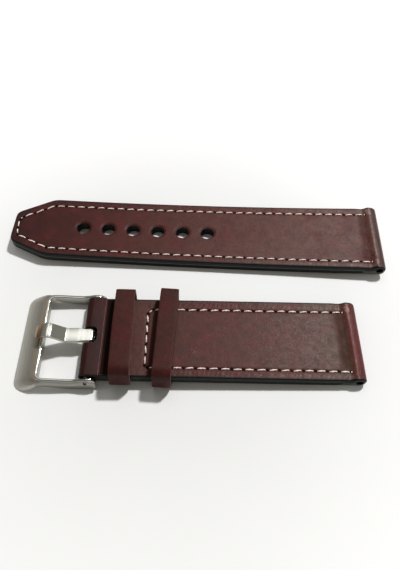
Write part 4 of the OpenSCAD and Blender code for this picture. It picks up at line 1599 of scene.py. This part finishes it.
@dataclass
class BuckleFrame:
    """The steel frame: a crowned bar, two arms and a polished lip round the window."""

    finishes: Finishes
    lean: float = 0.1826
    inside: float = 12.4
    arm_top: float = 1.0
    arm_foot: float = 1.5
    flare: float = 0.7
    full_at: float = 4.6
    reach: float = 19.8
    bar_width: float = 6.95
    foot: float = 1.5
    edge: float = 0.4
    crown_r: float = 14.0
    drop: float = 3.3
    under: float = 1.65
    corner: float = 3.2
    lip_z: float = 0.8
    lip: float = 0.8
    window_corner: float = 1.6
    dip_at: float = 3.6
    dip: float = 0.2
    nose_r: float = 2.0
    nose_reach: float = 2.7
    nose_z: float = 0.9
    eye_r: float = 0.5
    # How far an arm takes the bar's section towards the window, and over which length
    arm_blend: float = 0.12
    blend_reach: float = 3.5
    # Where the bar has tarnished: distance from the window, width and strength
    tarnish_and_reflection: tuple[float, float, float] = (1.3, 0.8, 0.9)
    # Across the polished lip: distance from the window and depth below its top
    bead: tuple[tuple[float, float], ...] = (
        (0.0, 0.34), (0.03, 0.17), (0.1, 0.07), (0.2, 0.02), (0.32, 0.004), (0.45, 0.0),
        (0.58, 0.01), (0.7, 0.05), (0.79, 0.14), (0.86, 0.27), (0.98, 0.24))

    def __post_init__(self) -> None:
        """Works out the places that follow from the sizes."""
        self.window = self.bar_width - self.reach
        self.outer_foot = self.inside + self.arm_foot
        self.outer = self.outer_foot + self.flare
        self.nose = (self.nose_reach - self.nose_r, self.nose_z - self.nose_r)

    def arm_heights(self, x: np.ndarray) -> tuple[np.ndarray, np.ndarray]:
        """Top and bottom of an arm at x."""
        nx, nz = self.nose
        top = eased(x, [(self.window, self.lip_z), (-self.dip_at, self.dip), (nx, self.nose_z),
                        (nx + 9, self.nose_z)])
        low = eased(x, [(self.window, -self.under), (-self.dip_at, nz - self.nose_r),
                        (nx + 9, nz - self.nose_r)])
        chord = half_round(x - nx, self.nose_r)
        return np.where(x > nx, nz + chord, top), np.where(x > nx, nz - chord, low)

    def around(self) -> np.ndarray:
        """The frame's outside in plan, from the end of an arm to the middle bar's end."""
        c, top = self.corner, self.outer
        side = rounded([
            (self.window + self.window_corner, self.outer_foot), (self.window, self.outer_foot),
            (self.full_at - self.reach, top), (c - self.reach, top)], 0.8, 4)
        turn = [(c - self.reach - c * math.sin(a), top - c + c * math.cos(a))
                for a in arc(0, 90, 13)]
        return np.concatenate([side[:-1], turn, [(-self.reach, self.inside
                                                  - self.window_corner)]])

    def tracks(self) -> tuple[np.ndarray, np.ndarray, np.ndarray]:
        """Inner and outer plan points of each station, and how far it belongs to the bar."""
        nx, c = self.nose[0], self.window_corner
        nose = nx + (self.nose_reach - nx) * np.sin(arc(87, 0, 10))
        inner, outer, bar = [], [], []
        for x in [*nose, *np.linspace(nx, self.window + c, 30)[1:]]:
            inner.append((x, self.inside))
            outer.append((x, self.outer_foot))
            to_window = (self.window + c + self.blend_reach - x) / self.blend_reach
            bar.append(self.arm_blend * float(smooth(to_window)))
        around = self.around()
        lengths = lengths_along(around)
        for t in np.arange(1, 27) / 26:
            a = t * math.pi / 2
            inner.append((self.window + c - c * math.sin(a), self.inside - c + c * math.cos(a)))
            outer.append([np.interp(t * lengths[-1], lengths, around[:, k]) for k in (0, 1)])
            bar.append(self.arm_blend + (1 - self.arm_blend) * float(smooth(t / 0.65)))
        for y in np.linspace(self.inside - c, 0, 14)[1:]:
            inner.append((self.window, y))
            outer.append((-self.reach, y))
            bar.append(1.0)
        inner, outer, bar = np.array(inner), np.array(outer), np.array(bar)
        # The front half mirrors the back half
        flip = np.array([1, -1])
        return (np.concatenate([inner, inner[-2::-1] * flip]),
                np.concatenate([outer, outer[-2::-1] * flip]), np.concatenate([bar, bar[-2::-1]]))

    def crown(self, x: float) -> float:
        """Height of the bar's crowned top at x."""
        low = np.array([-self.reach, self.edge - self.drop])
        high = np.array([self.window - self.lip, self.lip_z])
        span = np.linalg.norm(high - low)
        u = (high - low) / span
        sink = math.sqrt(self.crown_r ** 2 - (span / 2) ** 2)
        centre = (low + high) / 2 - np.array([-u[1], u[0]]) * sink
        return float(centre[1] + math.sqrt(self.crown_r ** 2 - (x - centre[0]) ** 2))

    def section(self, width: float, bar: float, top: float, low: float) -> np.ndarray:
        """One station's ring, as distance from the inner wall and height.

        Args:
            width: distance between the inner and the outer wall.
            bar: 0 on an arm, 1 on the bar.
            top: an arm's top here.
            low: an arm's bottom here.

        Returns:
            The ring's corner points.
        """
        tall, steps = min(1.0, (top - low) / 2.2), np.linspace(0, 1, 6)[1:]
        arm = [(0, low)] + [(a, top - h * tall) for a, h in self.bead]
        arm += [(self.arm_top + (width - self.arm_top) * min(1, f * 1.6),
                 top - 0.2 * tall - f * min(1.3, (top - low) * 0.55)) for f in steps]
        arm += [(width, low + 0.125 * (top - low))]
        arm += [(width * f, low) for f in (1, 0.7, 0.45, 0.2)]
        lip, reach, rise = self.lip, self.bar_width, self.drop - self.under
        flat = [(0, -self.under)] + [(a, self.lip_z - h) for a, h in self.bead]
        for f in steps:
            a = lip + 0.24 + (reach - lip - 0.24) * f
            flat.append((a, self.crown(self.window - a) - 0.1 * (1 - f)))
        flat += [(reach, -self.drop + self.edge * 0.45), (reach, -self.drop),
                 (reach - self.foot, -self.drop), (reach * 0.55, -self.drop + rise * 0.45),
                 (reach * 0.28, -self.drop + rise * 0.86)]
        flat = np.array(flat, float)
        outer = flat[:, 0] > lip
        flat[outer, 0] = lip + (flat[outer, 0] - lip) * (width - lip) / (reach - lip)
        return np.array(arm, float) * (1 - bar) + flat * bar

    def build(self) -> bpy.types.Object:
        """The whole frame in one skin, with eyes for the spring bar."""
        inner, outer, bar = self.tracks()
        rings, tarnish_and_reflection = [], []
        at, spread, strength = self.tarnish_and_reflection
        lip_end = len(self.bead)
        for p, q, b, top, low in zip(inner, outer, bar, *self.arm_heights(inner[:, 0])):
            width = float(np.linalg.norm(q - p))
            ring = self.section(width, b, top, low)
            a, z = np.concatenate([ring[:lip_end + 1],
                                   rounded(ring[lip_end:], 0.12, 3)[1:]]).T
            rings.append(np.column_stack([p + np.outer(a, (q - p) / width), z]))
            tarnish_and_reflection.append(strength * b * bell(a - at, spread) * (z > -self.under + 0.3))
        piece = loft("steel_buckle_frame", np.array(rings), {"tarnish_and_reflection": np.array(tarnish_and_reflection)})
        cut(piece, peg(self.eye_r, 2 * self.outer + 4, (0, 0, 0), "Y", 24))
        ring, run = face_values(piece, "ring"), face_values(piece, "run")
        lip = (ring >= 1) & (ring <= lip_end - 2)
        on_bar = bar[np.clip(run, 0, len(bar) - 1)] > 0.35
        paint(piece, [self.finishes.darker_arm_steel, self.finishes.bar_steel, self.finishes.polished],
              np.select([lip, on_bar], [2, 1], 0))
        return settle(piece, hinge_place(self.lean), Body.FRAME, Slot.BUCKLE, "buckle_frame",
                      angle=50)


@dataclass
class BuckleTongue:
    """The flat steel tongue, curled round the spring bar and bent up over the lip."""

    finishes: Finishes
    lean: float = 2.0
    width: float = 4.2
    thick: float = 0.85
    bore: float = 0.9
    flat: float = 6.6
    rise_at: float = 10.3
    rise: float = 3.0
    bend: float = 1.3
    tip: float = 2.9
    fall: float = 1.45
    round_over: float = 0.6
    soften: float = 0.16
    tip_narrow: float = 0.42
    # How brown the tongue's tip is: a painted reflection of the leather
    tarnish_and_reflection: float = 0.9

    def path(self) -> np.ndarray:
        """The tongue's middle line as x and z, from the end of its curl to its tip."""
        level = self.bore + self.thick / 2
        curl = [(level * math.sin(a), level * math.cos(a)) for a in arc(262, 12, 26)]
        top, bend = level + self.rise, self.rise_at + self.bend
        line = rounded([(0, level), (-self.flat, level), (-self.rise_at, top), (-bend, top),
                        (-bend - self.tip, top - self.fall)], self.round_over, 6)
        return np.concatenate([curl, resample(line, 0.45)])

    def shrink(self, x: float, left: float) -> tuple[float, float]:
        """How much narrower and thinner the strip is.

        Args:
            x: place along the buckle.
            left: length of strip from here to the tip.

        Returns:
            The shares of the full width and thickness.
        """
        # The tip is rounded in plan and thins out
        q = 1 - min(1.0, left / 1.1)
        narrow = 1 - self.tip_narrow * (1 - math.sqrt(max(0.0, 1 - q ** 2)))
        thin = 0.72 + 0.28 * min(1.0, left / 2.4)
        # The rolled end is beaten thinner and narrower, so that it turns freely in its slot
        thin = min(thin, 0.62 + 0.38 * float(smooth((-1.4 - x) / 1.6)))
        narrow *= 1 - 0.14 * float(smooth((x + 3.0) / 1.4))
        narrow *= 1 - 0.36 * float(smooth((x + 0.1) / 1.7))
        return narrow, thin

    def build(self) -> bpy.types.Object:
        """The bent strip with softened edges and a rounded tip."""
        line = self.path()
        ahead = np.gradient(line, axis=0)
        ahead /= np.linalg.norm(ahead, axis=1)[:, None]
        travel = lengths_along(line)
        y, z = strip_section(self.width, self.thick, self.soften).T
        rings, tarnish_and_reflection, last = [], [], -1.0
        for (x, height), (along, up), at in zip(line, ahead, travel):
            if at - last <= 0.02:
                continue
            last = at
            narrow, thin = self.shrink(x, travel[-1] - at)
            rings.append(np.column_stack([x + up * z * thin, y * narrow,
                                          height - along * z * thin]))
            tarnish_and_reflection.append(np.full(len(y), self.tarnish_and_reflection * float(
                smooth(-x - self.rise_at - self.bend))))
        piece = loft("steel_buckle_tongue", np.array(rings), {"tarnish_and_reflection": np.array(tarnish_and_reflection)})
        ring = face_values(piece, "ring")
        # The third and the eleventh side of the section are its two flat faces
        faces = (ring == 3) | (ring == 11)
        paint(piece, [self.finishes.tongue_steel, self.finishes.tongue_top], faces.astype(int))
        return settle(piece, hinge_place(self.lean), Body.TONGUE, Slot.TONGUE, "buckle_tongue",
                      angle=50)


@dataclass
class SpringBar:
    """The spring bar, whose CAD solids have the right shape and get a drawn steel finish."""

    finishes: Finishes
    nodes: tuple[str, ...] = ("spring_bar_tube", "spring_bar_plunger_front",
                              "spring_bar_plunger_back", "spring_bar_coil")

    def build(self) -> None:
        """Dresses each node."""
        for name in self.nodes:
            piece = frame["nodes"][name]
            piece.data.materials.clear()
            piece.data.materials.append(self.finishes.pin_steel)
            log.info("%s: dressed", name)


# ---- Studio ----------------------------------------------------------------------------------


@dataclass
class Studio:
    """A pale table, a soft lamp behind the strap, a dim room and the camera."""

    eye: tuple[float, float, float] = (0.03, -83.93, 132.3)
    forward: tuple[float, float, float] = (0.00540, 0.54515, -0.83835)
    roll: float = 1.13
    focal_px: float = 520.0
    picture_height: int = 570
    sensor_mm: float = 36.0
    # The lamp's place and size are in metres, its power in watts
    lamp_at: tuple[float, float, float] = (0.325, 0.37, 0.80)
    lamp_size: float = 0.075
    lamp_power: float = 7.5
    glow_from: tuple[float, float, float] = (-0.16, 0.5, 1.0)
    glow: float = 1.2
    # Where the glow begins and where it is full, in degrees from its middle
    glow_reach: tuple[float, float] = (17, 8)
    room: tuple[tuple[float, str], ...] = (
        (0.0, "#5a5854"), (0.3, "#817f78"), (0.7, "#83827b"), (1.0, "#7a7974"))
    table_metres: float = 6.0
    table: str = "#f4f4f4"
    table_patches: str = "#f0f0f0"
    # How much whiter the table is seen far from the strap: start and end in metres, and how much
    near_lift: tuple[float, float, float] = (0.042, 0.1, 0.2)
    far_lift: tuple[float, float, float] = (0.3, 1.5, 0.8)

    def seen(self, tree: bpy.types.NodeTree, mirrored: Union[Socket, float] = 1.0) -> Socket:
        """How much of the pale background a ray sees: all of it where the camera looks at it.

        Args:
            tree: the node tree.
            mirrored: the share that is seen in metal and through glass.

        Returns:
            The share.
        """
        rays = add_node(tree, "LightPath").node.outputs
        share = add_node(tree, "Math", (rays["Is Glossy Ray"], rays["Is Transmission Ray"]),
                         operation="ADD")
        share = add_node(tree, "Math", (share, mirrored), operation="MULTIPLY")
        return add_node(tree, "Math", (share, rays["Is Camera Ray"]), operation="ADD",
                        use_clamp=True)

    def build_table(self) -> None:
        """The pale surface under the strap."""
        deselect()
        bpy.ops.mesh.primitive_plane_add(size=self.table_metres, location=(0, 0, 0))
        table = bpy.context.object
        table.name = "table"
        material, tree, shader, coords = new_material("pale_table")
        away = add_node(tree, "VectorMath", (coords,), "Value", operation="LENGTH")
        near, far = [add_node(tree, "MapRange", (away, start, end, 0, lift))
                     for start, end, lift in (self.near_lift, self.far_lift)]
        lift = add_node(tree, "Math", (near, far), operation="ADD")
        feed(tree, shader, {
            "Base Color": add_node(tree, "Mix", {0: clouds(tree, coords, 40), 6: self.table,
                                                 7: self.table_patches}, 2, data_type="RGBA"),
            "Roughness": 0.7, "Specular IOR Level": 0.2, "Emission Color": "#ffffff",
            "Emission Strength": add_node(tree, "Math", (lift, self.seen(tree)),
                                          operation="MULTIPLY")})
        table.data.materials.append(material)

    def build_lamp(self) -> None:
        """The lamp behind the strap and to its right."""
        data = bpy.data.lights.new("window_lamp", "AREA")
        data.size, data.energy = self.lamp_size, self.lamp_power
        lamp = bpy.data.objects.new("window_lamp", data)
        bpy.context.scene.collection.objects.link(lamp)
        lamp.location = Vector(self.lamp_at)
        lamp.rotation_mode = "QUATERNION"
        lamp.rotation_quaternion = Vector(self.lamp_at).to_track_quat("Z", "Y")

    def build_room(self) -> None:
        """A dim room with a small pale glow overhead, and white behind the table."""
        world = bpy.data.worlds.new("room")
        bpy.context.scene.world = world
        world.use_nodes = True
        tree = world.node_tree
        tree.nodes.clear()
        coords = add_node(tree, "TexCoord", output="Generated")
        z = add_node(tree, "SeparateXYZ", (coords,), "Z")
        height = add_node(tree, "MapRange", (z, -0.1, 1.0))
        walls = add_node(tree, "ValToRGB", (height,), stops=self.room)
        towards = add_node(tree, "VectorMath", (coords, Vector(self.glow_from).normalized()),
                           "Value", operation="DOT_PRODUCT")
        start, full = [math.cos(math.radians(a)) for a in self.glow_reach]
        near = add_node(tree, "MapRange", (towards, start, full, 0, self.glow))
        room = add_node(tree, "AddShader", (add_node(tree, "Background", (walls, 1.0)),
                                            add_node(tree, "Background", ("#ffffff", near))))
        white = add_node(tree, "Background", ("#f6f6f6", 1.0))
        # Metal sees the white near the horizon, where the background is
        low = add_node(tree, "MapRange", (z, 0.0, 0.15, 1, 0))
        both = add_node(tree, "MixShader", (self.seen(tree, low), room, white))
        add_node(tree, "OutputWorld", (both,))

    def build_camera(self) -> None:
        """The camera at the picture's angle."""
        data = bpy.data.cameras.new("camera")
        data.sensor_fit = "AUTO"
        data.sensor_width = self.sensor_mm
        data.lens = self.focal_px * self.sensor_mm / self.picture_height
        data.clip_start, data.clip_end = 0.01, 20
        camera = bpy.data.objects.new("camera", data)
        bpy.context.scene.collection.objects.link(camera)
        forward = Vector(self.forward).normalized()
        right = forward.cross(Vector((0, 0, 1))).normalized()
        up = right.cross(forward)
        cs, sn = math.cos(math.radians(self.roll)), math.sin(math.radians(self.roll))
        turned = Matrix((right * cs + up * sn, up * cs - right * sn, -forward))
        place = turned.transposed().to_4x4()
        place.translation = Vector(self.eye) * MM
        camera.matrix_world = place
        bpy.context.scene.camera = camera

    def build(self) -> None:
        """Sets the studio up."""
        self.build_table()
        self.build_lamp()
        self.build_room()
        self.build_camera()
        bpy.context.scene.view_settings.view_transform = "Standard"


def main() -> None:
    """Builds each sub-assembly in order."""
    logging.basicConfig(level=logging.INFO, format="%(message)s")
    finishes = Finishes()
    TailHalf(finishes).build()
    half = BuckleHalf(finishes)
    half.build()
    Keeper(finishes, "fixed_leather_keeper", "fixed_keeper", Body.BUCKLE_HALF, at=65.85,
           width=5.5, side=0.05, under=0.0, tucked=True, seed=20).build(half.place)
    Keeper(finishes, "free_leather_keeper", "free_keeper", Body.FREE_KEEPER, at=54.2,
           width=5.0, side=0.62, under=0.05, yaw=3.1, seed=19).build(half.place)
    BuckleFrame(finishes).build()
    BuckleTongue(finishes).build()
    SpringBar(finishes).build()
    Studio().build()


if __name__ == "__main__":
    main()
